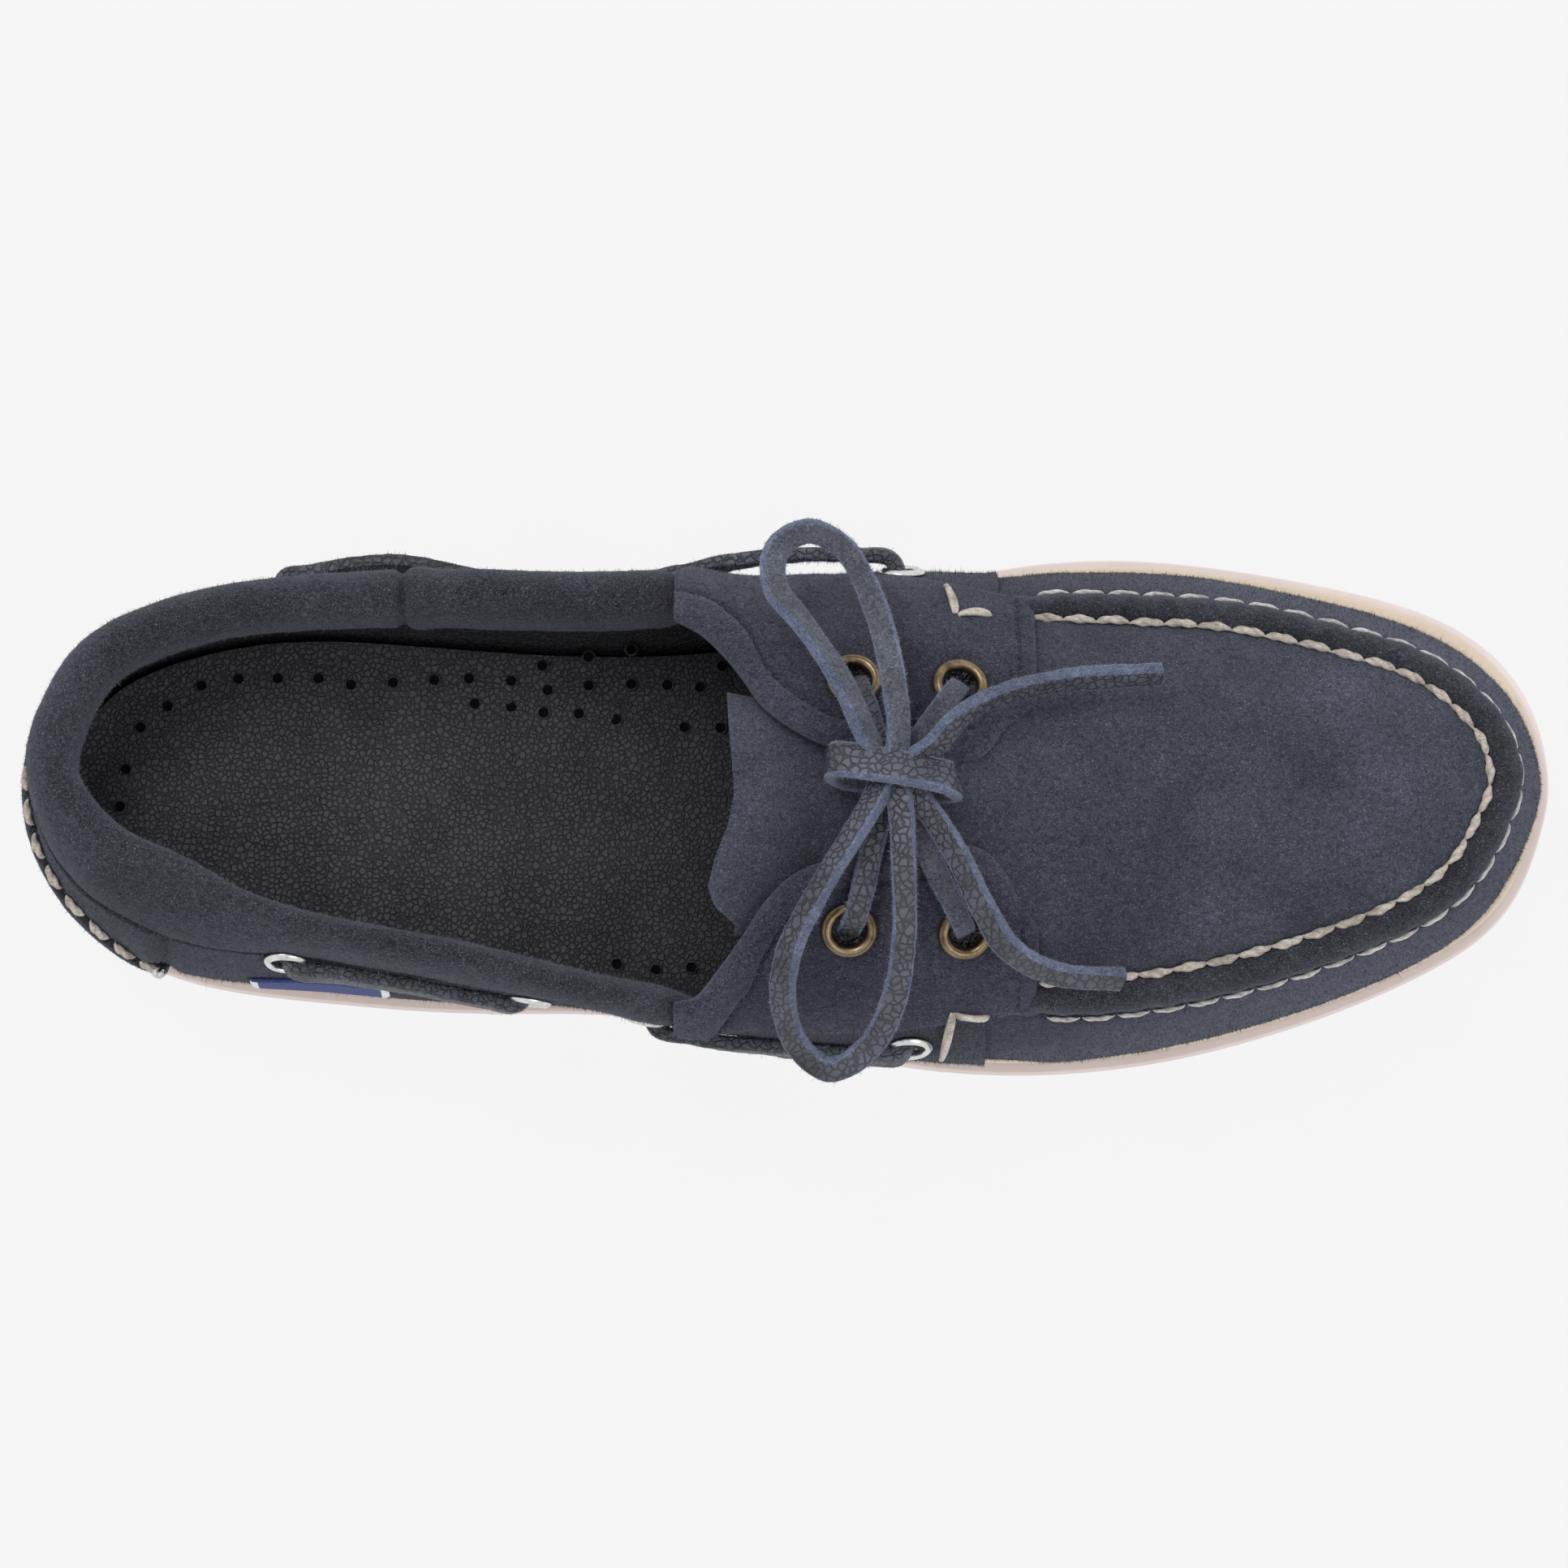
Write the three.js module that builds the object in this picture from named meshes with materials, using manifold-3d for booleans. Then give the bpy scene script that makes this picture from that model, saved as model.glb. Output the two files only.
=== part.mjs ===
// Boat shoe for the right foot, size 42: suede upper on a rubber sole, laced with a hide lace.
// Millimetres. +X points to the toe, +Y to the inner side of the foot, +Z up.
import * as THREE from "three";
import { mergeVertices } from "three/addons/utils/BufferGeometryUtils.js";
import Module from "manifold-3d";

const wasm = await Module();
wasm.setup();

// Whole shoe
const LENGTH = 298;
const HEEL_BACK = -147;
const BALL_WIDTH = 103;
const HEIGHT = 70;
const CENTRE_ACROSS = 0.0252;
const GAP = 0.3;
const TALL = 2 * HEIGHT;

// Place along the shoe at a share of its length
const placeAt = (along) => HEEL_BACK + along * LENGTH;

// Materials' thicknesses
const WALL = 2.2;
const OVERLAY = 1.5;
const TONGUE = 2.2;
const MIDSOLE = 3.6;
const INSOLE = 4;
const LACE_WIDE = 4.6;
const LACE_THICK = 2.8;

// The upper: outline at the sole in shares of length and ball width, lean of the wall up to its rim,
// bulge halfway up, and how far the sole stands out, all in shares of the ball width
const OUTLINE = [
  { along: 0.014, across: 0.01, lean: -0.002, bulge: 0.012, welt: 0.032 },
  { along: 0.03, across: -0.136, lean: 0, bulge: 0.012, welt: 0.032 },
  { along: 0.063, across: -0.246, lean: -0.006, bulge: 0.014, welt: 0.031 },
  { along: 0.117, across: -0.31, lean: -0.022, bulge: 0.016, welt: 0.03 },
  { along: 0.191, across: -0.345, lean: -0.018, bulge: 0.012, welt: 0.028 },
  { along: 0.285, across: -0.37, lean: 0.026, bulge: 0.006, welt: 0.021 },
  { along: 0.376, across: -0.38, lean: 0.062, bulge: 0.01, welt: 0.013 },
  { along: 0.466, across: -0.414, lean: 0.056, bulge: 0.018, welt: 0.009 },
  { along: 0.56, across: -0.461, lean: 0.006, bulge: 0.03, welt: 0.016 },
  { along: 0.644, across: -0.479, lean: -0.04, bulge: 0.03, welt: 0.02 },
  { along: 0.725, across: -0.459, lean: -0.046, bulge: 0.026, welt: 0.022 },
  { along: 0.795, across: -0.416, lean: -0.045, bulge: 0.022, welt: 0.025 },
  { along: 0.862, across: -0.352, lean: -0.046, bulge: 0.02, welt: 0.028 },
  { along: 0.923, across: -0.268, lean: -0.046, bulge: 0.016, welt: 0.031 },
  { along: 0.963, across: -0.162, lean: -0.054, bulge: 0.014, welt: 0.031 },
  { along: 0.985, across: -0.034, lean: -0.058, bulge: 0.012, welt: 0.031 },
  { along: 0.99, across: 0.056, lean: -0.062, bulge: 0.012, welt: 0.033 },
  { along: 0.98, across: 0.165, lean: -0.072, bulge: 0.012, welt: 0.04 },
  { along: 0.956, across: 0.258, lean: -0.08, bulge: 0.014, welt: 0.046 },
  { along: 0.919, across: 0.334, lean: -0.086, bulge: 0.016, welt: 0.047 },
  { along: 0.864, across: 0.387, lean: -0.09, bulge: 0.02, welt: 0.047 },
  { along: 0.795, across: 0.428, lean: -0.088, bulge: 0.024, welt: 0.046 },
  { along: 0.722, across: 0.452, lean: -0.1, bulge: 0.026, welt: 0.044 },
  { along: 0.644, across: 0.442, lean: -0.076, bulge: 0.026, welt: 0.038 },
  { along: 0.56, across: 0.385, lean: 0.022, bulge: 0.03, welt: 0.032 },
  { along: 0.466, across: 0.32, lean: 0.085, bulge: 0.03, welt: 0.028 },
  { along: 0.376, across: 0.3, lean: 0.083, bulge: 0.02, welt: 0.027 },
  { along: 0.285, across: 0.31, lean: 0.068, bulge: 0.018, welt: 0.027 },
  { along: 0.191, across: 0.325, lean: 0.044, bulge: 0.018, welt: 0.028 },
  { along: 0.117, across: 0.3, lean: 0.036, bulge: 0.018, welt: 0.03 },
  { along: 0.061, across: 0.238, lean: 0.026, bulge: 0.02, welt: 0.032 },
  { along: 0.03, across: 0.144, lean: 0.012, bulge: 0.014, welt: 0.032 },
];

// Heights along the shoe, in shares of its height: top of the sole, rim of the wall, crown over the spine
const PROFILE = [
  { along: 0, sole: 0.343, rim: 0.857, crown: 1 },
  { along: 0.12, sole: 0.343, rim: 0.822, crown: 1 },
  { along: 0.285, sole: 0.329, rim: 0.781, crown: 1 },
  { along: 0.42, sole: 0.286, rim: 0.757, crown: 1.007 },
  { along: 0.5, sole: 0.243, rim: 0.743, crown: 1.007 },
  { along: 0.58, sole: 0.2, rim: 0.721, crown: 0.972 },
  { along: 0.66, sole: 0.176, rim: 0.679, crown: 0.893 },
  { along: 0.76, sole: 0.171, rim: 0.629, crown: 0.804 },
  { along: 0.87, sole: 0.193, rim: 0.586, crown: 0.7 },
  { along: 0.97, sole: 0.236, rim: 0.547, crown: 0.6 },
  { along: 1, sole: 0.25, rim: 0.543, crown: 0.57 },
];

// Middle line of the throat and the apron, across the shoe, in shares of the ball width
const SPINE = [
  { along: 0.12, across: 0.03 },
  { along: 0.285, across: -0.01 },
  { along: 0.42, across: -0.05 },
  { along: 0.56, across: -0.07 },
  { along: 0.66, across: -0.045 },
  { along: 0.85, across: -0.012 },
  { along: 1, across: 0.01 },
];
const SPINE_SHARE = 0.72;

// Raised seam around the apron
const RIDGE_WIDE = 5.8;
const RIDGE_HIGH = 2.2;
const RIDGE_STARTS = placeAt(0.641);
const RIDGE_FULL = placeAt(0.661);

// Collar and throat
const COLLAR_FRONT = placeAt(0.423);
const COLLAR_HIGH = 11;
const COLLAR_WIDE = 10;
const COLLAR_WIDE_BACK = 12.4;
const COLLAR_NARROWS = placeAt(0.134);
const COLLAR_BUTT = 2;

// Number of points in a ring and the levels at which rings run
const RING = 56;
const WALL_LEVELS = [0, 0.25, 0.5, 0.75, 1];
const RIDGE_LEVELS = [0.04, 0.28, 0.5, 0.72, 0.96];
const TOP_LEVELS = [0.22, 0.38, 0.56, 0.76, 0.95];
const INNER_WALL_LEVELS = [0, 0.33, 0.66, 0.95];
const INNER_TOP_LEVELS = [0.2, 0.42, 0.68, 0.95];

const V = (x, y, z) => new THREE.Vector3(x, y, z);

// Smooth closed curve through a list of numbers
function closedSpline(values) {
  const n = values.length;
  const at = (list, i) => list[(i + n) % n];
  let bend = values.map(() => 0);
  for (let pass = 0; pass < 40; pass++)
    bend = values.map(
      (v, i) => {
        const second = at(values, i - 1) - 2 * v + at(values, i + 1);
        return (6 * second - at(bend, i - 1) - at(bend, i + 1)) / 4;
      },
    );
  return (u) => {
    const s = (((u % 1) + 1) % 1) * n;
    const i = Math.floor(s);
    const f = s - i;
    const g = 1 - f;
    const line = at(values, i) * g + at(values, i + 1) * f;
    return line + ((g ** 3 - g) * at(bend, i) + (f ** 3 - f) * at(bend, i + 1)) / 6;
  };
}

// Smooth open curve through a table's column, read at a place along the shoe
function alongTable(rows, key) {
  const slope = (i) => {
    const a = rows[Math.max(i - 1, 0)];
    const b = rows[Math.min(i + 1, rows.length - 1)];
    return (b[key] - a[key]) / (b.along - a.along);
  };
  return (x) => {
    const along = Math.min(Math.max((x - HEEL_BACK) / LENGTH, rows[0].along), rows.at(-1).along);
    const i = Math.min(Math.max(rows.findIndex((row) => row.along > along) - 1, 0), rows.length - 2);
    const j = along >= rows.at(-1).along ? rows.length - 2 : i;
    const span = rows[j + 1].along - rows[j].along;
    const f = (along - rows[j].along) / span;
    const g = 1 - f;
    const ends = rows[j][key] * g * g * (1 + 2 * f) + rows[j + 1][key] * f * f * (1 + 2 * g);
    return ends + span * f * g * (slope(j) * g - slope(j + 1) * f);
  };
}

const column = (key) => closedSpline(OUTLINE.map((row) => row[key] * BALL_WIDTH));
const footX = closedSpline(OUTLINE.map((row) => placeAt(row.along)));
const footY = column("across");
const leanOf = column("lean");
const bulgeOf = column("bulge");
const weltOf = column("welt");
const soleTop = (x) => alongTable(PROFILE, "sole")(x) * HEIGHT;
const rimHeight = (x) => alongTable(PROFILE, "rim")(x) * HEIGHT;
const crownHeight = (x) => alongTable(PROFILE, "crown")(x) * HEIGHT;
const spineY = (x) => alongTable(SPINE, "across")(x) * BALL_WIDTH;

const mix = (a, b, f) => a + (b - a) * f;
const ease = (low, high, x) => THREE.MathUtils.smoothstep(x, low, high);

// Level direction out of the outline
function outward(u) {
  const step = 0.001;
  const dx = footX(u + step) - footX(u - step);
  const dy = footY(u + step) - footY(u - step);
  const size = Math.hypot(dx, dy);
  return V(dy / size, -dx / size, 0);
}

const footPoint = (u) => V(footX(u), footY(u), soleTop(footX(u)) + GAP);

function rimPoint(u) {
  const p = footPoint(u).addScaledVector(outward(u), leanOf(u));
  return p.setZ(rimHeight(p.x));
}

function spinePoint(u) {
  const x = SPINE_SHARE * footX(u);
  return V(x, spineY(x), crownHeight(x));
}

// Point of the wall, level 0 at the sole and 1 at the rim
function wallPoint(u, level) {
  const p = footPoint(u).lerp(rimPoint(u), level);
  return p.addScaledVector(outward(u), bulgeOf(u) * 4 * level * (1 - level));
}

// Point of the top, level 0 at the rim and 1 at the spine
function topPoint(u, level) {
  const rim = rimPoint(u);
  const spine = spinePoint(u);
  const rise = 1 - (1 - level) ** 2.2;
  return V(mix(rim.x, spine.x, level), mix(rim.y, spine.y, level), mix(rim.z, spine.z, rise));
}

// Where the rounded corner of the throat begins, is full, begins to fade and has gone
const THROAT_ROUND = [0.393, 0.48, 0.628, 0.701].map(placeAt);

// How far the corner at the rim is rounded: much at the throat, little at the seam
function rounding(u) {
  const x = footX(u);
  const [begins, full, fades, gone] = THROAT_ROUND;
  const throat = ease(begins, full, x) * (1 - ease(fades, gone, x));
  return { wall: mix(0.1, 0.5, throat), top: mix(0.05, 0.36, throat) };
}

// Point of the form: levels 0 to 1 up the wall, 1 to 2 over the top
function formPoint(u, level) {
  const round = rounding(u);
  const low = 1 - round.wall;
  const high = 1 + round.top;
  if (level <= low) return wallPoint(u, level);
  if (level >= high) return topPoint(u, level - 1);
  const f = level < 1 ? (0.5 * (level - low)) / round.wall : 0.5 + (0.5 * (level - 1)) / round.top;
  const a = wallPoint(u, low).multiplyScalar((1 - f) ** 2);
  const c = rimPoint(u).multiplyScalar(2 * f * (1 - f));
  const b = topPoint(u, round.top).multiplyScalar(f * f);
  return a.add(b).add(c);
}

function formNormal(u, level) {
  const step = 0.002;
  const du = formPoint(u + step, level).sub(formPoint(u - step, level));
  const dl = formPoint(u, Math.min(level + 0.02, 2)).sub(formPoint(u, Math.max(level - 0.02, 0)));
  return du.cross(dl).normalize();
}

// Height of the raised seam at a distance in from the rim
function ridge(u, distance) {
  const part = (2 * distance) / RIDGE_WIDE - 1;
  if (Math.abs(part) >= 1) return 0;
  return RIDGE_HIGH * Math.sqrt(1 - part * part) * ease(RIDGE_STARTS, RIDGE_FULL, footX(u));
}

// Point of the form moved out along its normal, with the raised seam where asked
function skin(u, level, offset, ridged = false) {
  const reach = rimPoint(u).distanceTo(spinePoint(u));
  const lift = ridged && level > 1 ? ridge(u, (level - 1) * reach) : 0;
  return formPoint(u, level).addScaledVector(formNormal(u, level), offset + lift);
}

const ringShares = Array.from({ length: RING }, (_, i) => i / RING);

// Ring of the form at one level
const ringAt = (level, offset, ridged) => ringShares.map((u) => skin(u, level, offset, ridged));

// Rings of the raised seam, at distances in from the rim
function ridgeRing(part, offset) {
  return ringShares.map((u) => {
    const reach = rimPoint(u).distanceTo(spinePoint(u));
    return skin(u, 1 + (part * RIDGE_WIDE) / reach, offset, true);
  });
}

// Rings of the form's outside, from the sole to the spine
function outsideRings(offset) {
  return [
    ...WALL_LEVELS.map((level) => ringAt(level, offset, true)),
    ...RIDGE_LEVELS.map((part) => ridgeRing(part, offset)),
    ...TOP_LEVELS.map((level) => ringAt(1 + level, offset, true)),
  ];
}

function insideRings(offset) {
  return [
    ...INNER_WALL_LEVELS.map((level) => ringAt(level, offset)),
    ...INNER_TOP_LEVELS.map((level) => ringAt(1 + level, offset)),
  ];
}

// Closed mesh through rings of points; each end is filled across from side to side
function loft(rings) {
  const n = rings[0].length;
  const index = [];
  const quad = (a, b, c, d) => index.push(a, b, c, a, c, d);
  rings.slice(1).forEach((_, r) => {
    for (let i = 0; i < n; i++) {
      const j = (i + 1) % n;
      quad(r * n + i, r * n + j, (r + 1) * n + j, (r + 1) * n + i);
    }
  });
  const last = (rings.length - 1) * n;
  for (let i = 0; i < n / 2; i++) {
    const [a, b, c, d] = [i, i + 1, n - i - 1, (n - i) % n];
    if (b !== c) index.push(c, b, a, last + a, last + b, last + c);
    if (a !== d) index.push(d, c, a, last + a, last + c, last + d);
  }
  const points = rings.flat();
  let volume = 0;
  for (let t = 0; t < index.length; t += 3)
    volume += points[index[t]].dot(points[index[t + 1]].clone().cross(points[index[t + 2]]));
  if (volume < 0) index.reverse();
  return new THREE.BufferGeometry().setFromPoints(points).setIndex(index);
}

function solidFrom(geometry) {
  const plain = geometry.clone();
  plain.deleteAttribute("normal");
  plain.deleteAttribute("uv");
  const merged = mergeVertices(plain, 1e-3);
  const vertProperties = merged.attributes.position.array;
  const triVerts = new Uint32Array(merged.index.array);
  return new wasm.Manifold(new wasm.Mesh({ numProp: 3, vertProperties, triVerts }));
}

function geometryFrom(solid) {
  const mesh = solid.getMesh();
  const positions = new THREE.BufferAttribute(new Float32Array(mesh.vertProperties), 3);
  const index = new THREE.BufferAttribute(mesh.triVerts, 1);
  return new THREE.BufferGeometry().setAttribute("position", positions).setIndex(index);
}

// Upright prism over a plan outline
function prism(outline, low, high) {
  const shape = new THREE.Shape(outline.map(([x, y]) => new THREE.Vector2(x, y)));
  const made = new THREE.ExtrudeGeometry(shape, { depth: high - low, bevelEnabled: false });
  return solidFrom(made.translate(0, 0, low));
}

// Level prism across the shoe over a side outline of places along and heights
function crossPrism(outline, half) {
  const shape = new THREE.Shape(outline.map(([x, z]) => new THREE.Vector2(x, z)));
  const made = new THREE.ExtrudeGeometry(shape, { depth: 2 * half, bevelEnabled: false });
  return solidFrom(made.rotateX(Math.PI / 2).translate(0, half, 0));
}

// Sole
const SOLE_STEP = 1.6;
const SOLE_BEVEL = 1;
const SIDE_GROOVE = 0.9;
const SOLE_SIDE = [
  { under: 2.6, inset: 0 },
  { under: 2.2, inset: SIDE_GROOVE },
  { under: 1.6, inset: SIDE_GROOVE },
  { under: 1.2, inset: 0.2 },
  { under: 0, inset: 0.6 },
];
const MIDSOLE_ROUND = 0.8;
const ARCH = [
  { along: 0.29, high: -0.02 },
  { along: 0.285, high: 0.1 },
  { along: 0.33, high: 0.135 },
  { along: 0.44, high: 0.115 },
  { along: 0.53, high: 0.03 },
  { along: 0.565, high: -0.02 },
];
const TOE_SPRING = [
  { along: 0.75, high: -0.02 },
  { along: 0.84, high: 0.01 },
  { along: 0.91, high: 0.038 },
  { along: 0.97, high: 0.075 },
  { along: 1.04, high: 0.12 },
  { along: 1.04, high: -0.02 },
];
const LUG_PITCH = 9;
const LUG_GROOVE = { wide: 2, deep: 1.6, low: -1, rise: 8 };
const LUG_RISES = [0.795, 0.997].map(placeAt);
const LUG_ROWS = [
  { along: 0.055, count: 7 },
  { along: 0.6, count: 12 },
];

const sideOutline = (rows) => rows.map((row) => [placeAt(row.along), row.high * HEIGHT]);

// Ring around the sole: inset from its edge, at a height that depends on the place along
function soleRing(inset, height) {
  return ringShares.map((u) => {
    const p = footPoint(u).addScaledVector(outward(u), weltOf(u) - inset);
    return p.setZ(height(footX(u)));
  });
}

function lugGrooves() {
  const grooves = LUG_ROWS.flatMap((row) =>
    Array.from({ length: row.count }, (_, i) => {
      const back = placeAt(row.along) + i * LUG_PITCH;
      const front = back + LUG_GROOVE.wide;
      const top = LUG_GROOVE.deep + ease(...LUG_RISES, back) * LUG_GROOVE.rise;
      const foot = LUG_GROOVE.low;
      return crossPrism([[back, foot], [front, foot], [front, top], [back, top]], BALL_WIDTH);
    }),
  );
  return grooves.reduce((all, one) => all.add(one));
}

function outsole() {
  const top = (x) => soleTop(x) - MIDSOLE - GAP;
  const block = solidFrom(
    loft([
      soleRing(SOLE_BEVEL, () => 0),
      soleRing(0, () => SOLE_BEVEL),
      ...SOLE_SIDE.map((row) => soleRing(row.inset, (x) => top(x) - row.under)),
    ]),
  );
  const arch = crossPrism(sideOutline(ARCH), BALL_WIDTH);
  const spring = crossPrism(sideOutline(TOE_SPRING), BALL_WIDTH);
  return block.subtract(arch).subtract(spring).subtract(lugGrooves());
}

function midsole() {
  return solidFrom(
    loft([
      soleRing(SOLE_STEP, (x) => soleTop(x) - MIDSOLE),
      soleRing(SOLE_STEP, (x) => soleTop(x) - MIDSOLE_ROUND),
      soleRing(SOLE_STEP + MIDSOLE_ROUND, soleTop),
    ]),
  );
}

// Insole, a little inside the wall
const INSOLE_INSET = WALL + 1.3;
const INSOLE_ROUND = 0.6;

function insole() {
  const ring = (inset, lift) =>
    ringShares.map((u) => footPoint(u).addScaledVector(outward(u), -inset).add(V(0, 0, lift)));
  const edge = ring(INSOLE_INSET, INSOLE - INSOLE_ROUND);
  return solidFrom(loft([ring(INSOLE_INSET, 0), edge, ring(INSOLE_INSET + INSOLE_ROUND, INSOLE)]));
}

// Inner edge of the eyestays seen from above, inner side then outer side, rear to front
const STAY_EDGE_INNER = [
  { along: 0.423, across: 0.282 },
  { along: 0.44, across: 0.252 },
  { along: 0.456, across: 0.204 },
  { along: 0.466, across: 0.165 },
  { along: 0.48, across: 0.107 },
  { along: 0.503, across: 0.058 },
  { along: 0.527, across: 0.029 },
  { along: 0.574, across: 0.019 },
  { along: 0.617, across: 0.019 },
  { along: 0.634, across: 0.078 },
];
const STAY_EDGE_OUTER = [
  { along: 0.423, across: -0.418 },
  { along: 0.437, across: -0.408 },
  { along: 0.45, across: -0.369 },
  { along: 0.466, across: -0.311 },
  { along: 0.48, across: -0.252 },
  { along: 0.497, across: -0.204 },
  { along: 0.52, across: -0.175 },
  { along: 0.614, across: -0.146 },
  { along: 0.631, across: -0.184 },
  { along: 0.641, across: -0.233 },
];
const STAY_FRONT = placeAt(0.654);
const STAY_LOW = 0.671 * HEIGHT;
const STAY_CORNER = 5;
const THROAT_FRONT = 0.567;
const THROAT_FRONT_ROWS = [
  { along: THROAT_FRONT, across: -0.136 },
  { along: THROAT_FRONT, across: 0 },
];
const THROAT_LOW = 0.643 * HEIGHT;

const plan = (rows) => rows.map((row) => [placeAt(row.along), row.across * BALL_WIDTH]);

function throatCutter() {
  const open = (rows) => plan(rows.filter((row) => row.along < THROAT_FRONT));
  const inner = open(STAY_EDGE_INNER);
  const outer = open(STAY_EDGE_OUTER);
  const back = COLLAR_FRONT - 1;
  const rear = [[back, inner[0][1]], [back, outer[0][1]]];
  return prism([...rear, ...outer, ...plan(THROAT_FRONT_ROWS), ...inner.reverse()], THROAT_LOW, TALL);
}

const quarterTop = (x) => rimHeight(x) - COLLAR_HIGH;

function collarCutter() {
  const places = [-0.044, 0, 0.057, 0.121, 0.191, 0.285, 0.359].map(placeAt);
  const edge = [...places, COLLAR_FRONT].map((x) => [x, quarterTop(x)]);
  return crossPrism([...edge, [COLLAR_FRONT, TALL], [places[0], TALL]], BALL_WIDTH);
}

// Level and share of the form nearest to a wanted place, on the outer (-1) or inner (1) side
function seat(side, low, high, miss) {
  let best = { u: side < 0 ? 0.27 : 0.73, level: (low + high) / 2 };
  const far = (p) => miss(formPoint(p.u, p.level));
  for (let step = 0.12; step > 1e-5; step *= 0.75)
    for (const [du, dl] of [[step, 0], [-step, 0], [0, 2 * step], [0, -2 * step]]) {
      const u = Math.min(Math.max(best.u + du, side < 0 ? 0.02 : 0.52), side < 0 ? 0.48 : 0.98);
      const level = Math.min(Math.max(best.level + dl, low), high);
      if (far({ u, level }) < far(best)) best = { u, level };
    }
  return best;
}

const topSeat = (x, y) => seat(y < spineY(x) ? -1 : 1, 1, 2, (p) => Math.hypot(p.x - x, p.y - y));
const wallSeat = (side, x, z) => seat(side, 0, 1, (p) => Math.hypot(p.x - x, p.z - z));

// Eyelets: outer radius, hole, height of the flange over the leather
const BRASS = { outer: 5.4, hole: 3.2, barrel: 3.7, high: 1.2, lies: 2 * GAP + OVERLAY };
const SILVER = { outer: 4.5, hole: 2.8, barrel: 3.2, high: 1, lies: GAP };
const CLEAR_HOLE = 0.45;
const BARREL_FOOT = 0.5;
const HOLE_LONG = 16;
const TOP_EYELETS = {
  eyelet_inner_front: { along: 0.604, across: 0.15 },
  eyelet_inner_rear: { along: 0.537, across: 0.155 },
  eyelet_outer_front: { along: 0.607, across: -0.291 },
  eyelet_outer_rear: { along: 0.534, across: -0.291 },
};

// Side eyelets: how far their middle lies under the foot of the collar's line
const SIDE_EYELETS = {
  ring_inner_1: { side: 1, along: 0.164, under: 3.9 },
  ring_inner_2: { side: 1, along: 0.319, under: 5.2 },
  ring_inner_3: { side: 1, along: 0.406, under: 5.2 },
  ring_inner_4: { side: 1, along: 0.57, under: -0.3 },
  ring_outer_1: { side: -1, along: 0.1745, under: 3.8 },
  ring_outer_2: { side: -1, along: 0.329, under: 5.6 },
  ring_outer_3: { side: -1, along: 0.406, under: 5.2 },
  ring_outer_4: { side: -1, along: 0.574, under: -0.4 },
};

const turnTo = (normal) => new THREE.Quaternion().setFromUnitVectors(V(0, 1, 0), normal);

function placed(geometry, kind, at) {
  const normal = formNormal(at.u, at.level);
  const point = formPoint(at.u, at.level).addScaledVector(normal, kind.lies);
  return geometry.applyQuaternion(turnTo(normal)).translate(point.x, point.y, point.z);
}

function eyelet(kind, at) {
  const foot = -(kind.lies + WALL + BARREL_FOOT);
  const profile = [
    [kind.hole, foot],
    [kind.barrel, foot],
    [kind.barrel, 0],
    [kind.outer, kind.high * 0.2],
    [(kind.outer + kind.hole) / 2, kind.high],
    [kind.hole, kind.high * 0.5],
    [kind.hole, foot],
  ].map(([r, h]) => new THREE.Vector2(r, h));
  return solidFrom(placed(new THREE.LatheGeometry(profile, 12), kind, at));
}

function eyeletHole(kind, at) {
  const radius = kind.barrel + CLEAR_HOLE;
  return solidFrom(placed(new THREE.CylinderGeometry(radius, radius, HOLE_LONG, 12), kind, at));
}

const topSeats = Object.entries(TOP_EYELETS).map(([name, row]) => {
  const [x, y] = plan([row])[0];
  return [name, topSeat(x, y)];
});
const sideSeats = Object.entries(SIDE_EYELETS).map(([name, row]) => {
  const x = placeAt(row.along);
  return [name, wallSeat(row.side, x, quarterTop(x) - row.under)];
});

function upper() {
  const shell = solidFrom(loft([...insideRings(-WALL).reverse(), ...outsideRings(0)]));
  const holes = [
    ...topSeats.map(([, at]) => eyeletHole(BRASS, at)),
    ...sideSeats.map(([, at]) => eyeletHole(SILVER, at)),
  ];
  const cutters = [throatCutter(), collarCutter(), ...holes];
  return cutters.reduce((body, cutter) => body.subtract(cutter), shell);
}

// Thin piece lying on the upper, cut out by an outline
const lying = (thick) =>
  solidFrom(loft(outsideRings(GAP + thick))).subtract(solidFrom(loft(outsideRings(GAP))));

function eyestay(side) {
  const edge = plan(side > 0 ? STAY_EDGE_INNER : STAY_EDGE_OUTER);
  const far = side * BALL_WIDTH;
  const corner = [STAY_FRONT, edge.at(-1)[1] + side * STAY_CORNER];
  const outline = [...edge, corner, [STAY_FRONT, far], [COLLAR_FRONT, far]];
  const stay = lying(OVERLAY).intersect(prism(outline, STAY_LOW, TALL));
  return topSeats.reduce((body, [, at]) => body.subtract(eyeletHole(BRASS, at)), stay);
}

const COUNTER = [
  { along: -0.05, high: 0.355 },
  { along: -0.05, high: 0.62 },
  { along: 0.015, high: 0.61 },
  { along: 0.05, high: 0.55 },
  { along: 0.08, high: 0.455 },
  { along: 0.1, high: 0.355 },
];
const COUNTER_THICK = 1.4;
const heelCounter = () => lying(COUNTER_THICK).intersect(crossPrism(sideOutline(COUNTER), BALL_WIDTH));

const LABEL_THICK = 0.9;
const LABEL_HIGH = [0.393, 0.493];
const LABEL = [
  { along: 0.148, across: -1 },
  { along: 0.238, across: -1 },
  { along: 0.238, across: -0.2 },
  { along: 0.148, across: -0.2 },
];

function label() {
  const [low, high] = LABEL_HIGH.map((share) => share * HEIGHT);
  return lying(LABEL_THICK).intersect(prism(plan(LABEL), low, high));
}

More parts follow.
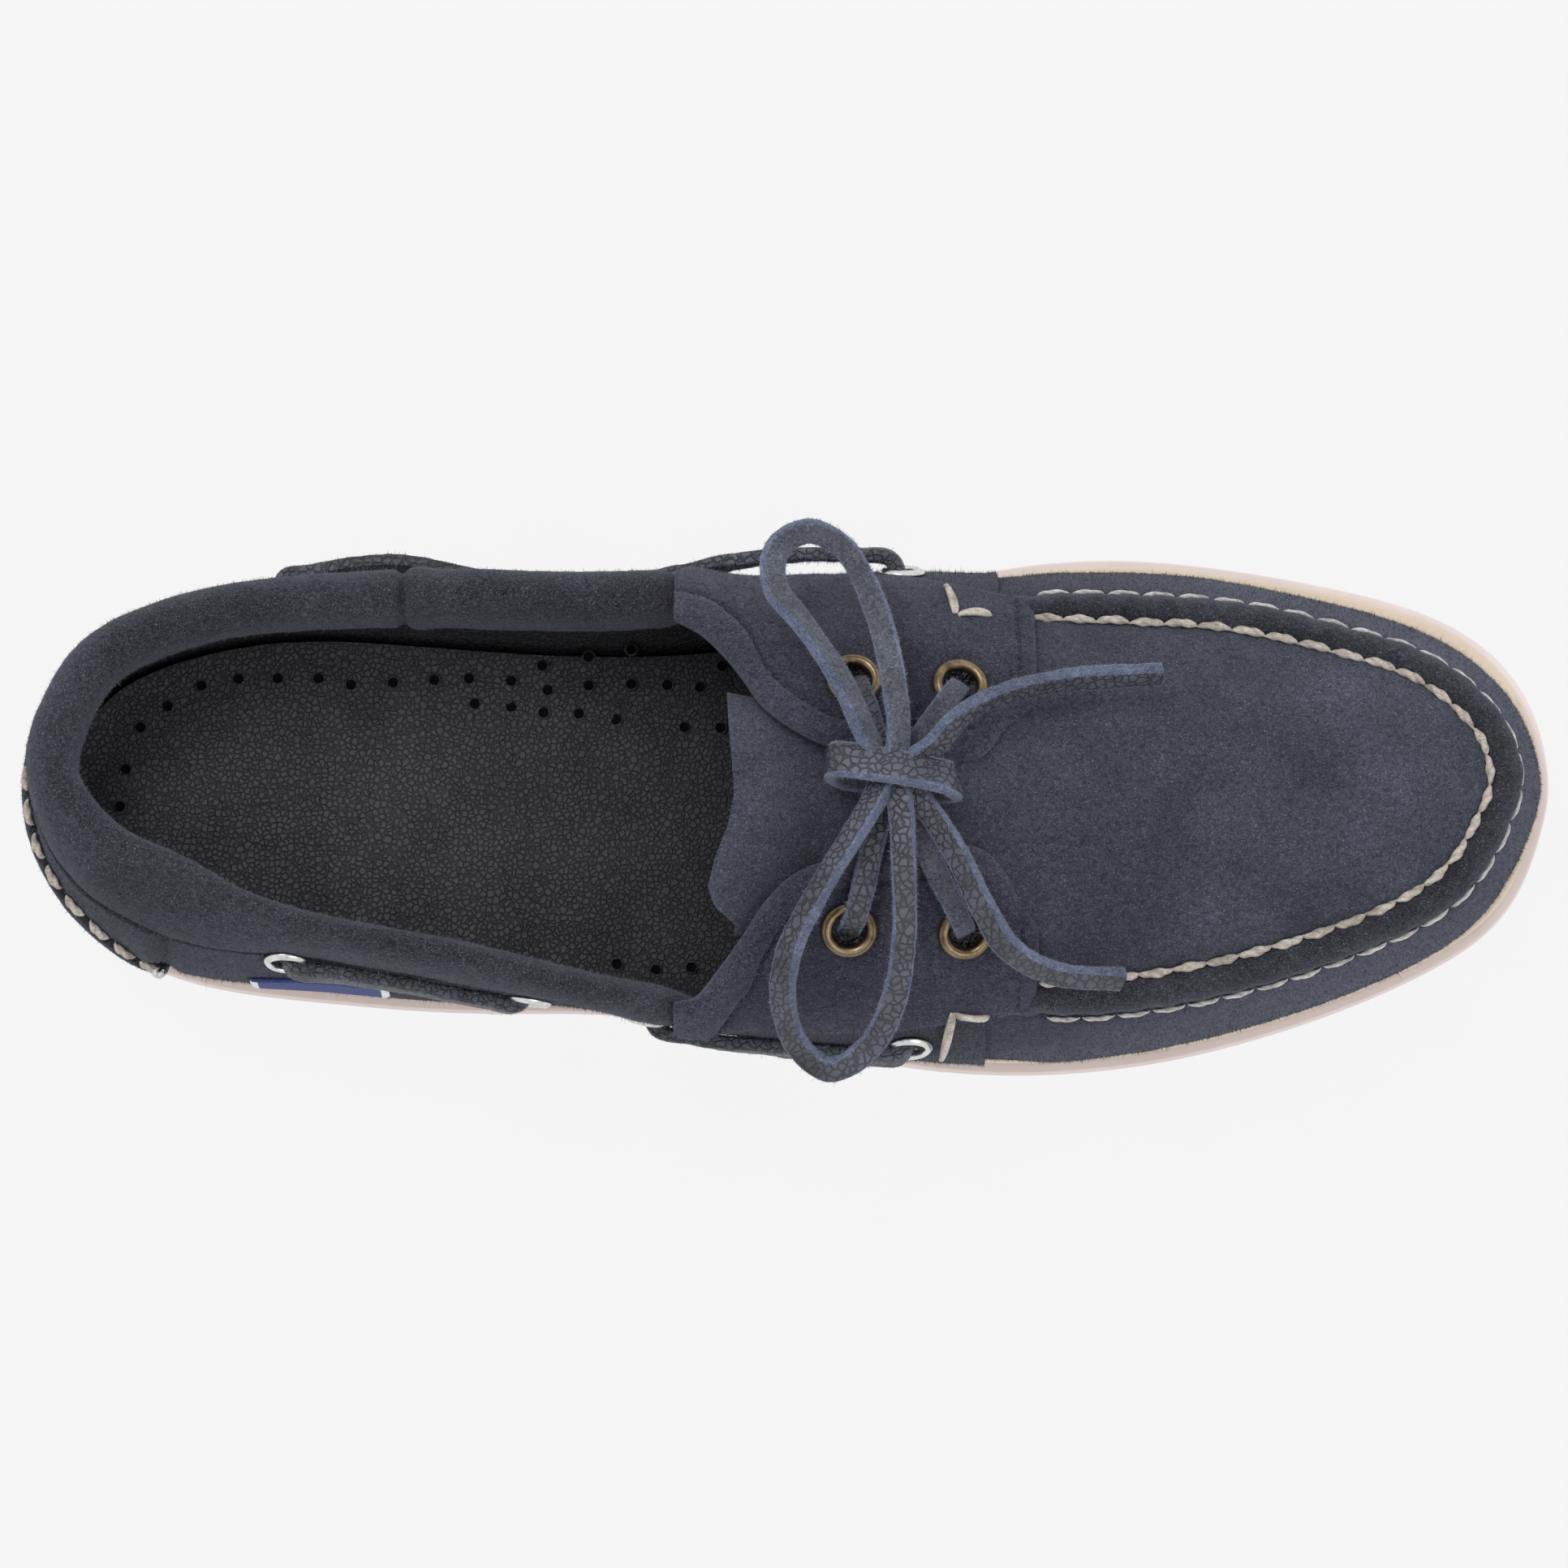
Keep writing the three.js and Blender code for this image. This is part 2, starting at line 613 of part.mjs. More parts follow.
// Section of the collar's roll: in from the wall's outside in shares of its width, up in shares of its height
const ROLL = [
  { inset: 0.05, lift: 0 },
  { inset: -0.05, lift: 0.36 },
  { inset: -0.02, lift: 0.78 },
  { inset: 0.26, lift: 1.07 },
  { inset: 0.62, lift: 1.09 },
  { inset: 0.94, lift: 0.78 },
  { inset: 0.98, lift: 0.27 },
  { inset: 0.78, lift: -0.18 },
  { inset: 0.38, lift: -0.18 },
  { inset: 0.32, lift: 0 },
];

// Share around the outline at a place along, on one side
function shareAt(side, x) {
  return seat(side, 0, 0, (p) => Math.abs(p.x - x)).u;
}

function rollPoint(u, inset, lift) {
  const rim = rimPoint(u);
  const base = quarterTop(rim.x) + GAP;
  const foot = footPoint(u);
  const level = Math.min((base + lift - foot.z) / (rim.z - foot.z), 1);
  return wallPoint(u, level).addScaledVector(outward(u), -inset).setZ(base + lift);
}

const COLLAR_RINGS = 40;

function collar() {
  const from = shareAt(-1, COLLAR_FRONT - COLLAR_BUTT);
  const to = shareAt(1, COLLAR_FRONT - COLLAR_BUTT) - 1;
  const rings = Array.from({ length: COLLAR_RINGS + 1 }, (_, i) => {
    const u = mix(from, to, i / COLLAR_RINGS);
    const wide = mix(COLLAR_WIDE_BACK, COLLAR_WIDE, ease(HEEL_BACK, COLLAR_NARROWS, footX(u)));
    return ROLL.map((row) => rollPoint(u, row.inset * wide, row.lift * COLLAR_HIGH));
  });
  return solidFrom(loft(rings));
}

// Tongue: half width in shares of the ball width and lift of its middle in shares of the height
const TONGUE_ROWS = [
  { along: 0.62, half: 0.126, lift: 0 },
  { along: 0.58, half: 0.141, lift: 0 },
  { along: 0.54, half: 0.16, lift: 0.003 },
  { along: 0.505, half: 0.18, lift: 0.014 },
  { along: 0.48, half: 0.209, lift: 0.057 },
  { along: 0.456, half: 0.223, lift: 0.107 },
];
const TONGUE_UNDER = WALL + 1.2;
const TONGUE_FALL = { reach: 0.408, power: 2.2, share: 1.25 };
const TONGUE_STEPS = 10;

function tonguePoint(row, s, depth) {
  const x = placeAt(row.along);
  const drop = (crownHeight(x) - rimHeight(x)) * TONGUE_FALL.share;
  const fall = drop * (Math.abs(s) * row.half / TONGUE_FALL.reach) ** TONGUE_FALL.power;
  const lift = row.lift * HEIGHT * (1 - s * s);
  return V(x, spineY(x) + s * row.half * BALL_WIDTH, crownHeight(x) - TONGUE_UNDER - depth - fall + lift);
}

function tongue() {
  const shares = Array.from({ length: TONGUE_STEPS + 1 }, (_, i) => (2 * i) / TONGUE_STEPS - 1);
  const rings = TONGUE_ROWS.map((row) => [
    ...shares.map((s) => tonguePoint(row, s, 0)),
    ...shares.map((s) => tonguePoint(row, -s, TONGUE)),
  ]);
  return solidFrom(loft(rings));
}

// Flat strand along a smooth path; its flat side faces the given way
const STRAND_SECTION = [[1, 0], [0.84, 1], [-0.84, 1], [-1, 0], [-0.84, -1], [0.84, -1]];
function strand(points, facing, steps, wide = LACE_WIDE, thick = LACE_THICK) {
  const curve = new THREE.CatmullRomCurve3(points, false, "centripetal");
  const faces = [facing].flat();
  const rings = Array.from({ length: steps + 1 }, (_, i) => {
    const t = i / steps;
    const p = curve.getPointAt(t);
    const tangent = curve.getTangentAt(t);
    const k = Math.min(Math.floor(t * (faces.length - 1)), Math.max(faces.length - 2, 0));
    const f = faces.length > 1 ? t * (faces.length - 1) - k : 0;
    const face = faces[k].clone().lerp(faces[Math.min(k + 1, faces.length - 1)], f);
    const side = tangent.clone().cross(face).normalize();
    const up = side.clone().cross(tangent).normalize();
    return STRAND_SECTION.map(([a, b]) =>
      p.clone().addScaledVector(side, (a * wide) / 2).addScaledVector(up, (b * thick) / 2),
    );
  });
  return solidFrom(loft(rings));
}

// Runs of the lace along the sides, from eyelet to eyelet
const RUN_OFF = SILVER.lies + SILVER.high + 2 * GAP + LACE_THICK / 2;
const SIDE_RUNS = {
  lace_inner_rear: { from: "ring_inner_1", to: "ring_inner_2", bow: 2.6 },
  lace_inner_front: { from: "ring_inner_3", to: "ring_inner_4", bow: 1.4 },
  lace_outer_rear: { from: "ring_outer_1", to: "ring_outer_2", bow: -0.8 },
  lace_outer_front: { from: "ring_outer_3", to: "ring_outer_4", bow: -0.4 },
};
const RUN_STEPS = 10;

function sideRun(run) {
  const seats = Object.fromEntries(sideSeats);
  const [a, b] = [seats[run.from], seats[run.to]];
  const at = (f) => {
    const [u, level] = [mix(a.u, b.u, f), mix(a.level, b.level, f)];
    return skin(u, level, RUN_OFF + run.bow * Math.sin(Math.PI * f) ** 2);
  };
  const points = Array.from({ length: RUN_STEPS + 1 }, (_, i) => at(i / RUN_STEPS));
  return strand(points, formNormal((a.u + b.u) / 2, (a.level + b.level) / 2), RUN_STEPS);
}

// Knot and bow
const UP = V(0, 0, 1);
const KNOT_RISE = 5.2;
const KNOT_PLACE = { along: 0.56, across: -0.034 };
const [KNOT_X, KNOT_Y] = plan([KNOT_PLACE])[0];
const KNOT = V(KNOT_X, KNOT_Y, crownHeight(KNOT_X) + KNOT_RISE);
const STRAND_OFF = BRASS.lies + BRASS.high + GAP + 1.3 + LACE_THICK / 2;
const CROSSING_DROP = 1.6;

function crossing() {
  const middle = KNOT.clone().addScaledVector(UP, -CROSSING_DROP);
  const strands = topSeats.map(([, at]) => {
    const start = skin(at.u, at.level, STRAND_OFF);
    const bend = start.clone().lerp(middle, 0.5).addScaledVector(UP, CROSSING_DROP);
    return strand([start, bend, middle], UP, 6, LACE_WIDE * 0.86);
  });
  return strands.reduce((all, one) => all.add(one));
}

// Paths of the bow, measured from the knot
const fromKnot = (rows) => rows.map(([x, y, z]) => KNOT.clone().add(V(x, y, z)));
const KNOT_WIDE = 7;
const KNOT_PATH = fromKnot([
  [-10.5, 3, -1], [-10, 3.5, 3.2], [0, 2, 4.8], [10.5, 0, 3.2], [11.5, -0.5, -1],
]);
const LOOP_INNER = fromKnot([
  [-4.5, 8, 4], [-9, 17.5, 6], [-16, 28.5, 5], [-21.5, 36.5, 2], [-21, 44.5, -1], [-15.5, 48, -2.5],
  [-9, 45, -2], [-4.5, 37.5, 0], [-1.2, 27.5, 3], [0.8, 16.5, 5], [1.5, 8, 4],
]);
const LOOP_OUTER = fromKnot([
  [-3.5, -5, 3.1], [-8, -12.5, 3.6], [-14, -22.5, 3], [-19, -32.5, 0], [-20, -41.5, -5], [-17, -49.5, -9],
  [-11, -53.5, -10], [-4, -49.5, -8], [0.5, -41.5, -4], [2.5, -29.5, 1], [2.5, -16.5, 3.2], [2, -6, 3.1],
]);
const END_INNER = fromKnot([
  [8, 6, 3], [13, 11.5, 2.6], [21, 16.5, -1.5], [33, 20, -6], [51.5, 22, -10],
]);
const END_OUTER = fromKnot([
  [7.5, -6.5, 1.6], [12.5, -14.5, 2], [17.5, -24.5, 0], [22, -31, -4], [31, -35, -11.5], [44, -35.5, -16.5],
]);

const COLOURS = {
  suede: 0x363d49,
  apron: 0x3a4452,
  lining: 0x2f3236,
  white: 0xe4d8d2,
  beige: 0xdccbb2,
  brass: 0x96764a,
  silver: 0xc8c8c8,
  lace: 0x465064,
  label: 0x2b3f7a,
};

const group = new THREE.Group();
group.position.set(-placeAt(0.5), CENTRE_ACROSS * BALL_WIDTH, 0);

function put(name, solid, colour, metalness = 0) {
  const material = new THREE.MeshStandardMaterial({ color: COLOURS[colour], roughness: 0.8, metalness });
  const mesh = new THREE.Mesh(geometryFrom(solid), material);
  mesh.name = name;
  group.add(mesh);
}

put("outsole", outsole(), "white");
put("midsole", midsole(), "beige");
put("insole", insole(), "lining");
put("upper", upper(), "suede");
put("tongue", tongue(), "apron");
put("collar", collar(), "suede");
put("eyestay_inner", eyestay(1), "suede");
put("eyestay_outer", eyestay(-1), "suede");
put("heel_counter", heelCounter(), "suede");
put("label", label(), "label");
topSeats.forEach(([name, at]) => put(name, eyelet(BRASS, at), "brass", 1));
sideSeats.forEach(([name, at]) => put(name, eyelet(SILVER, at), "silver", 1));
Object.entries(SIDE_RUNS).forEach(([name, run]) => put(name, sideRun(run), "lace"));
put("lace_crossing", crossing(), "lace");
put("knot", strand(KNOT_PATH, [V(-1, 0, 0.2), UP, UP, V(1, 0, 0.2)], 12, KNOT_WIDE), "lace");
put("loop_inner", strand(LOOP_INNER, V(0.6, 0.3, 1), 24), "lace");
put("loop_outer", strand(LOOP_OUTER, V(0.6, -0.3, 1), 24), "lace");
put("end_inner", strand(END_INNER, UP, 12), "lace");
put("end_outer", strand(END_OUTER, UP, 14), "lace");

export default group;
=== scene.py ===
"""Boat shoe for the right foot: fine surfaces, seams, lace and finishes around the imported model.

Lengths are in millimetres in the part's modelling frame until to_frame() turns them into metres.
+X points to the toe, +Y to the inner side of the foot, +Z up.
"""
import math

import bmesh
import bpy
import numpy as np
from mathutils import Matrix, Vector


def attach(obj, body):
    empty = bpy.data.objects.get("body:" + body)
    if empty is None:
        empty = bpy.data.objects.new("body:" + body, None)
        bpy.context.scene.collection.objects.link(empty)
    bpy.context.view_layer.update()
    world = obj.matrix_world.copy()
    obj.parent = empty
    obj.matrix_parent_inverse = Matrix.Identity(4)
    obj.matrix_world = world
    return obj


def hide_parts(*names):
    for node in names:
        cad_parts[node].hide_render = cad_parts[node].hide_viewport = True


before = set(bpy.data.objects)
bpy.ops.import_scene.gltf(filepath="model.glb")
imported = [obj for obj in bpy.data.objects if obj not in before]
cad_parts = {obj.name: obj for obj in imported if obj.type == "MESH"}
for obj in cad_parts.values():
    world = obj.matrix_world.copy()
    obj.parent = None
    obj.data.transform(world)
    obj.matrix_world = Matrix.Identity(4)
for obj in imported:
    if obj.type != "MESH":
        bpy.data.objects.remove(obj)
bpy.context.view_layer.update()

# Whole shoe
LENGTH = 298.0
HEEL_BACK = -147.0
BALL_WIDTH = 103.0
HEIGHT = 70.0
CENTRE = np.array([-(HEEL_BACK + LENGTH / 2), 0.0252 * BALL_WIDTH, 0.0])
GAP = 0.3
WALL = 2.2
OVERLAY = 1.5
MIDSOLE = 3.6
INSOLE = 4.0
LACE_WIDE = 4.6
LACE_THICK = 2.8

# Outline of the upper at the sole: along, across, lean of the wall, bulge, how far the sole stands out
OUTLINE = np.array([
    (0.014, 0.01, 0.004, 0.014, 0.032),
    (0.03, -0.14, -0.042, 0.048, 0.028),
    (0.063, -0.257, -0.088, 0.058, 0.021),
    (0.117, -0.329, -0.096, 0.048, 0.014),
    (0.191, -0.357, -0.05, 0.008, 0.016),
    (0.285, -0.378, -0.018, 0.008, 0.014),
    (0.376, -0.38, 0.046, 0.008, 0.013),
    (0.466, -0.414, 0.056, 0.018, 0.009),
    (0.56, -0.461, 0.006, 0.03, 0.016),
    (0.644, -0.479, -0.04, 0.03, 0.02),
    (0.725, -0.459, -0.046, 0.026, 0.022),
    (0.795, -0.416, -0.045, 0.022, 0.021),
    (0.862, -0.352, -0.046, 0.02, 0.021),
    (0.923, -0.268, -0.046, 0.016, 0.024),
    (0.963, -0.162, -0.054, 0.014, 0.031),
    (0.985, -0.034, -0.058, 0.012, 0.022),
    (0.99, 0.056, -0.062, 0.012, 0.022),
    (0.98, 0.165, -0.072, 0.012, 0.032),
    (0.956, 0.258, -0.08, 0.014, 0.046),
    (0.919, 0.334, -0.086, 0.016, 0.047),
    (0.864, 0.387, -0.09, 0.02, 0.047),
    (0.795, 0.428, -0.088, 0.024, 0.046),
    (0.722, 0.452, -0.1, 0.026, 0.044),
    (0.644, 0.442, -0.076, 0.026, 0.038),
    (0.56, 0.385, 0.022, 0.03, 0.032),
    (0.466, 0.32, 0.085, 0.03, 0.028),
    (0.376, 0.3, 0.095, 0.02, 0.027),
    (0.285, 0.31, 0.086, 0.018, 0.027),
    (0.191, 0.325, 0.058, 0.018, 0.028),
    (0.117, 0.3, 0.048, 0.018, 0.03),
    (0.061, 0.238, 0.04, 0.02, 0.032),
    (0.03, 0.144, 0.024, 0.014, 0.032),
])

# Heights along the shoe in shares of its height: along, top of the sole, rim of the wall, crown
PROFILE = np.array([
    (0, 0.343, 0.857, 1),
    (0.12, 0.343, 0.822, 1),
    (0.285, 0.329, 0.781, 1),
    (0.42, 0.286, 0.757, 1.007),
    (0.5, 0.243, 0.743, 1.007),
    (0.58, 0.2, 0.721, 0.972),
    (0.66, 0.176, 0.679, 0.893),
    (0.76, 0.171, 0.629, 0.804),
    (0.87, 0.193, 0.586, 0.7),
    (0.97, 0.236, 0.547, 0.6),
    (1, 0.25, 0.543, 0.57),
])

# Middle line of throat and apron: along, across
SPINE = np.array([
    (0.12, 0.03), (0.285, -0.01), (0.42, -0.05), (0.56, -0.07), (0.66, -0.045), (0.85, -0.012), (1, 0.01),
])
SPINE_SHARE = 0.72

UP = (0.0, 0.0, 1.0)
RANDOM_SEED = 7


def place_at(along):
    """Place along the shoe at a share of its length."""
    return HEEL_BACK + along * LENGTH


def mix(a, b, f):
    return a + (b - a) * f


def ease(low, high, x):
    """Smooth step from 0 at low to 1 at high."""
    f = np.clip((x - low) / (high - low), 0.0, 1.0)
    return f * f * (3 - 2 * f)


def bell(distance, width):
    """Bump of height 1 that falls off over a width."""
    return np.exp(-((distance / width) ** 2))


def unit(vectors):
    return vectors / np.maximum(np.linalg.norm(vectors, axis=-1, keepdims=True), 1e-12)


def closed_spline(values):
    """Smooth closed curve through a list of numbers, read at shares of the way round."""
    values = np.asarray(values, float)
    n = len(values)
    bend = np.zeros(n)
    for _ in range(40):
        second = np.roll(values, 1) - 2 * values + np.roll(values, -1)
        bend = (6 * second - np.roll(bend, 1) - np.roll(bend, -1)) / 4

    def read(u):
        s = np.mod(u, 1.0) * n
        i = np.floor(s).astype(int) % n
        f = s - np.floor(s)
        j = (i + 1) % n
        g = 1 - f
        line = values[i] * g + values[j] * f
        return line + ((g**3 - g) * bend[i] + (f**3 - f) * bend[j]) / 6

    return read


def along_table(rows, column):
    """Smooth open curve through a table's column, read at a place along the shoe."""
    along, value = rows[:, 0], rows[:, column]
    n = len(along)
    before, after = np.maximum(np.arange(n) - 1, 0), np.minimum(np.arange(n) + 1, n - 1)
    slope = (value[after] - value[before]) / (along[after] - along[before])

    def read(x):
        s = np.clip((x - HEEL_BACK) / LENGTH, along[0], along[-1])
        i = np.clip(np.searchsorted(along, s, side="right") - 1, 0, n - 2)
        span = along[i + 1] - along[i]
        f = (s - along[i]) / span
        g = 1 - f
        ends = value[i] * g * g * (1 + 2 * f) + value[i + 1] * f * f * (1 + 2 * g)
        return ends + span * f * g * (slope[i] * g - slope[i + 1] * f)

    return read


foot_x = closed_spline(place_at(OUTLINE[:, 0]))
foot_y = closed_spline(OUTLINE[:, 1] * BALL_WIDTH)
lean_of = closed_spline(OUTLINE[:, 2] * BALL_WIDTH)
bulge_of = closed_spline(OUTLINE[:, 3] * BALL_WIDTH)
welt_of = closed_spline(OUTLINE[:, 4] * BALL_WIDTH)
sole_share = along_table(PROFILE, 1)
rim_share = along_table(PROFILE, 2)
crown_share = along_table(PROFILE, 3)
spine_share = along_table(SPINE, 1)


def sole_top(x):
    return sole_share(x) * HEIGHT


def rim_height(x):
    return rim_share(x) * HEIGHT


def crown_height(x):
    return crown_share(x) * HEIGHT


def spine_y(x):
    return spine_share(x) * BALL_WIDTH


def outward(u):
    """Level direction out of the outline."""
    step = 0.001
    dx = foot_x(u + step) - foot_x(u - step)
    dy = foot_y(u + step) - foot_y(u - step)
    return unit(np.stack([dy, -dx, np.zeros_like(dx)], -1))


def foot_point(u):
    x = foot_x(u)
    return np.stack([x, foot_y(u), sole_top(x) + GAP], -1)


def rim_point(u):
    p = foot_point(u) + outward(u) * lean_of(u)[..., None]
    p[..., 2] = rim_height(p[..., 0])
    return p


def spine_point(u):
    x = SPINE_SHARE * foot_x(u)
    return np.stack([x, spine_y(x), crown_height(x)], -1)


def wall_point(u, level):
    """Point of the wall, level 0 at the sole and 1 at the rim."""
    p = mix(foot_point(u), rim_point(u), level[..., None])
    return p + outward(u) * (bulge_of(u) * 4 * level * (1 - level))[..., None]


def top_point(u, level):
    """Point of the top, level 0 at the rim and 1 at the spine."""
    rim, spine = rim_point(u), spine_point(u)
    rise = 1 - np.maximum(1 - level, 0) ** 2.2
    p = mix(rim, spine, level[..., None])
    p[..., 2] = mix(rim[..., 2], spine[..., 2], rise)
    return p


TOE_SHARES = np.linspace(0.45, 0.55, 2001)
TIP = float(TOE_SHARES[np.argmax(foot_x(TOE_SHARES))])
THROAT_ROUND = [place_at(s) for s in (0.393, 0.48, 0.628, 0.701)]


def form(u, level):
    """Point of the shoe's form: levels 0 to 1 up the wall, 1 to 2 over the top."""
    u, level = np.broadcast_arrays(np.asarray(u, float), np.asarray(level, float))
    x = foot_x(u)
    begins, full, fades, gone = THROAT_ROUND
    throat = ease(begins, full, x) * (1 - ease(fades, gone, x))
    wall, top = mix(0.1, 0.5, throat), mix(0.05, 0.36, throat)
    low, high = 1 - wall, 1 + top
    f = np.where(level < 1, 0.5 * (level - low) / wall, 0.5 + 0.5 * (level - 1) / top)[..., None]
    corner = wall_point(u, low) * (1 - f) ** 2 + rim_point(u) * 2 * f * (1 - f) + top_point(u, top) * f * f
    p = np.where((level <= low)[..., None], wall_point(u, level), corner)
    return np.where((level >= high)[..., None], top_point(u, level - 1), p)


def form_normal(u, level):
    step = 0.002
    du = form(u + step, level) - form(u - step, level)
    dl = form(u, np.minimum(level + 0.02, 2)) - form(u, np.maximum(level - 0.02, 0))
    return unit(np.cross(du, dl))


def skin(u, level, offset=0.0):
    """Point of the form moved out along its normal."""
    u, level = np.broadcast_arrays(np.asarray(u, float), np.asarray(level, float))
    offset = np.broadcast_to(offset, u.shape)
    return form(u, level) + form_normal(u, level) * offset[..., None]


def share_at(side, x, level=0.0):
    """Share around the outline where the form has a place along, on the outer (-1) or inner (1) side."""
    x, level = np.broadcast_arrays(np.asarray(x, float), np.asarray(level, float))
    low = np.full(x.shape, 0.02 if side < 0 else 0.98)
    high = np.full(x.shape, TIP)
    for _ in range(24):
        middle = (low + high) / 2
        behind = form(middle, level)[..., 0] < x
        low = np.where(behind, middle, low)
        high = np.where(behind, high, middle)
    return (low + high) / 2


def level_where(side, x, low, high, reached):
    """Level between low and high at which reached(point) turns true, on one side at places along."""
    x = np.asarray(x, float)
    low, high = np.full(x.shape, float(low)), np.full(x.shape, float(high))
    for _ in range(20):
        middle = (low + high) / 2
        beyond = reached(form(share_at(side, x, middle), middle))
        high = np.where(beyond, middle, high)
        low = np.where(beyond, low, middle)
    return (low + high) / 2


# Noise and meshes

def lattice(points, seed):
    """Smooth value noise from -1 to 1 at points measured in cells."""
    base = np.floor(points).astype(np.int64)
    f = points - base
    f = f * f * (3 - 2 * f)
    total = 0.0
    for corner in np.ndindex(2, 2, 2):
        cell = base + np.array(corner)
        key = cell[..., 0] * 374761393 + cell[..., 1] * 668265263 + cell[..., 2] * 2147483647
        key = key + seed * 974634777
        key = ((key ^ (key >> 13)) & 0xFFFFFFFF) * 1274126177
        value = ((key ^ (key >> 16)) & 0xFFFF) / 32767.5 - 1
        weight = np.prod(np.where(np.array(corner) == 1, f, 1 - f), axis=-1)
        total = total + value * weight
    return total


def lumps(points, size, seed, octaves=3):
    """Layered noise with features of a size in millimetres."""
    total, share = 0.0, 1.0
    for octave in range(octaves):
        total = total + share * lattice(points / size * 2**octave, seed + octave)
        share *= 0.5
    return total


def to_frame(points):
    return (np.asarray(points, float) + CENTRE) * 0.001


def grid_faces(rows, columns, wrap=False, start=0):
    """Quads of a grid of points; wrap joins its last column to its first."""
    r = np.arange(rows - 1)[:, None]
    c = np.arange(columns if wrap else columns - 1)[None, :]
    a = r * columns + c
    b = r * columns + (c + 1) % columns
    return start + np.stack([a, b, b + columns, a + columns], -1).reshape(-1, 4)


def strip_faces(first, second, wrap=False):
    """Quads between two rows of vertex numbers."""
    if wrap:
        first, second = np.append(first, first[0]), np.append(second, second[0])
    return np.stack([first[:-1], first[1:], second[1:], second[:-1]], -1)


def facing_out(points, faces, outside):
    """Faces turned round where need be, so that their normals agree with outside."""
    a, b, c = (points[faces[:, i * faces.shape[1] // 3]] for i in range(3))
    normals = np.cross(b - a, c - a)
    agree = np.sum(normals * outside)
    return faces if agree >= 0 else faces[:, ::-1]


def closed_out(points, faces):
    """Faces of a closed form, turned round if they face in."""
    a, b, c, d = (points[faces[:, i]] - points.mean(axis=0) for i in range(4))
    volume = np.sum(a * np.cross(b, c)) + np.sum(a * np.cross(c, d))
    return faces if volume >= 0 else faces[:, ::-1]


def end_caps(points, sides):
    """The two faces that close a tube made of rings of points."""
    rings = points.reshape(-1, sides, 3).mean(axis=1)
    first, last = np.arange(sides)[None], np.arange(len(points) - sides, len(points))[None]
    return [facing_out(points, first, rings[0] - rings[1]), facing_out(points, last, rings[-1] - rings[-2])]


def weld(mesh, distance):
    """Joins a mesh's points that lie within a distance in millimetres."""
    work = bmesh.new()
    work.from_mesh(mesh)
    bmesh.ops.remove_doubles(work, verts=work.verts, dist=distance * 0.001)
    work.to_mesh(mesh)
    work.free()


def mesh_object(name, points, faces, materials, picks=None, smooth=True, tone=None):
    """Object from points in millimetres and a list of face arrays; picks gives each array its material."""
    groups = faces if isinstance(faces, list) else [faces]
    picks = picks or [0] * len(groups)
    mesh = bpy.data.meshes.new(name)
    points = np.asarray(points).reshape(-1, 3)
    mesh.vertices.add(len(points))
    mesh.vertices.foreach_set("co", to_frame(points).ravel())
    corners = np.concatenate([np.full(len(g), g.shape[1]) for g in groups])
    mesh.loops.add(int(corners.sum()))
    mesh.loops.foreach_set("vertex_index", np.concatenate([g.ravel() for g in groups]).astype(np.int32))
    mesh.polygons.add(len(corners))
    starts = np.concatenate([[0], np.cumsum(corners)[:-1]]).astype(np.int32)
    mesh.polygons.foreach_set("loop_start", starts)
    material_numbers = np.concatenate([np.full(len(g), p) for g, p in zip(groups, picks)]).astype(np.int32)
    mesh.polygons.foreach_set("material_index", material_numbers)
    mesh.polygons.foreach_set("use_smooth", np.full(len(corners), smooth))
    mesh.update(calc_edges=True)
    mesh.validate()
    if tone is not None:
        layer = mesh.attributes.new("tone", "FLOAT", "POINT")
        layer.data.foreach_set("value", np.asarray(tone, np.float32).ravel())
    for material in materials if isinstance(materials, (list, tuple)) else [materials]:
        mesh.materials.append(material)
    made = bpy.data.objects.new(name, mesh)
    bpy.context.scene.collection.objects.link(made)
    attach(made, "root")
    return made


def thick_sheet(outer, inner, last_rim=True):
    """Points and faces of a sheet between two grids: outside, inside and rims."""
    rows, columns = outer.shape[:2]
    count = rows * columns
    points = np.concatenate([outer.reshape(-1, 3), inner.reshape(-1, 3)])
    front = grid_faces(rows, columns)
    numbers = np.arange(count).reshape(rows, columns)
    lifts = (outer - inner).reshape(-1, 3)
    front = facing_out(points, front, lifts[front[:, 0]])
    flipped = front[0, 0] != 0
    back = front[:, ::-1] + count
    edges = [numbers[0], numbers[:, 0][::-1], numbers[:, -1]]
    if last_rim:
        edges.append(numbers[-1][::-1])
    rims = np.concatenate([strip_faces(edge + count, edge) for edge in edges])
    return points, front, back, rims[:, ::-1] if flipped else rims


def panel(name, outer, inner, stuff, shade, back_tone, last_rim=True):
    """Piece of leather between two grids, toned by shade outside and evenly inside."""
    flat, front, back, rims = thick_sheet(outer, inner, last_rim)
    tone = np.concatenate([shade.ravel(), np.full(shade.size, back_tone)])
    return mesh_object(name, flat, [front, back, rims], stuff, [0, len(stuff) - 1, 0], tone=tone)


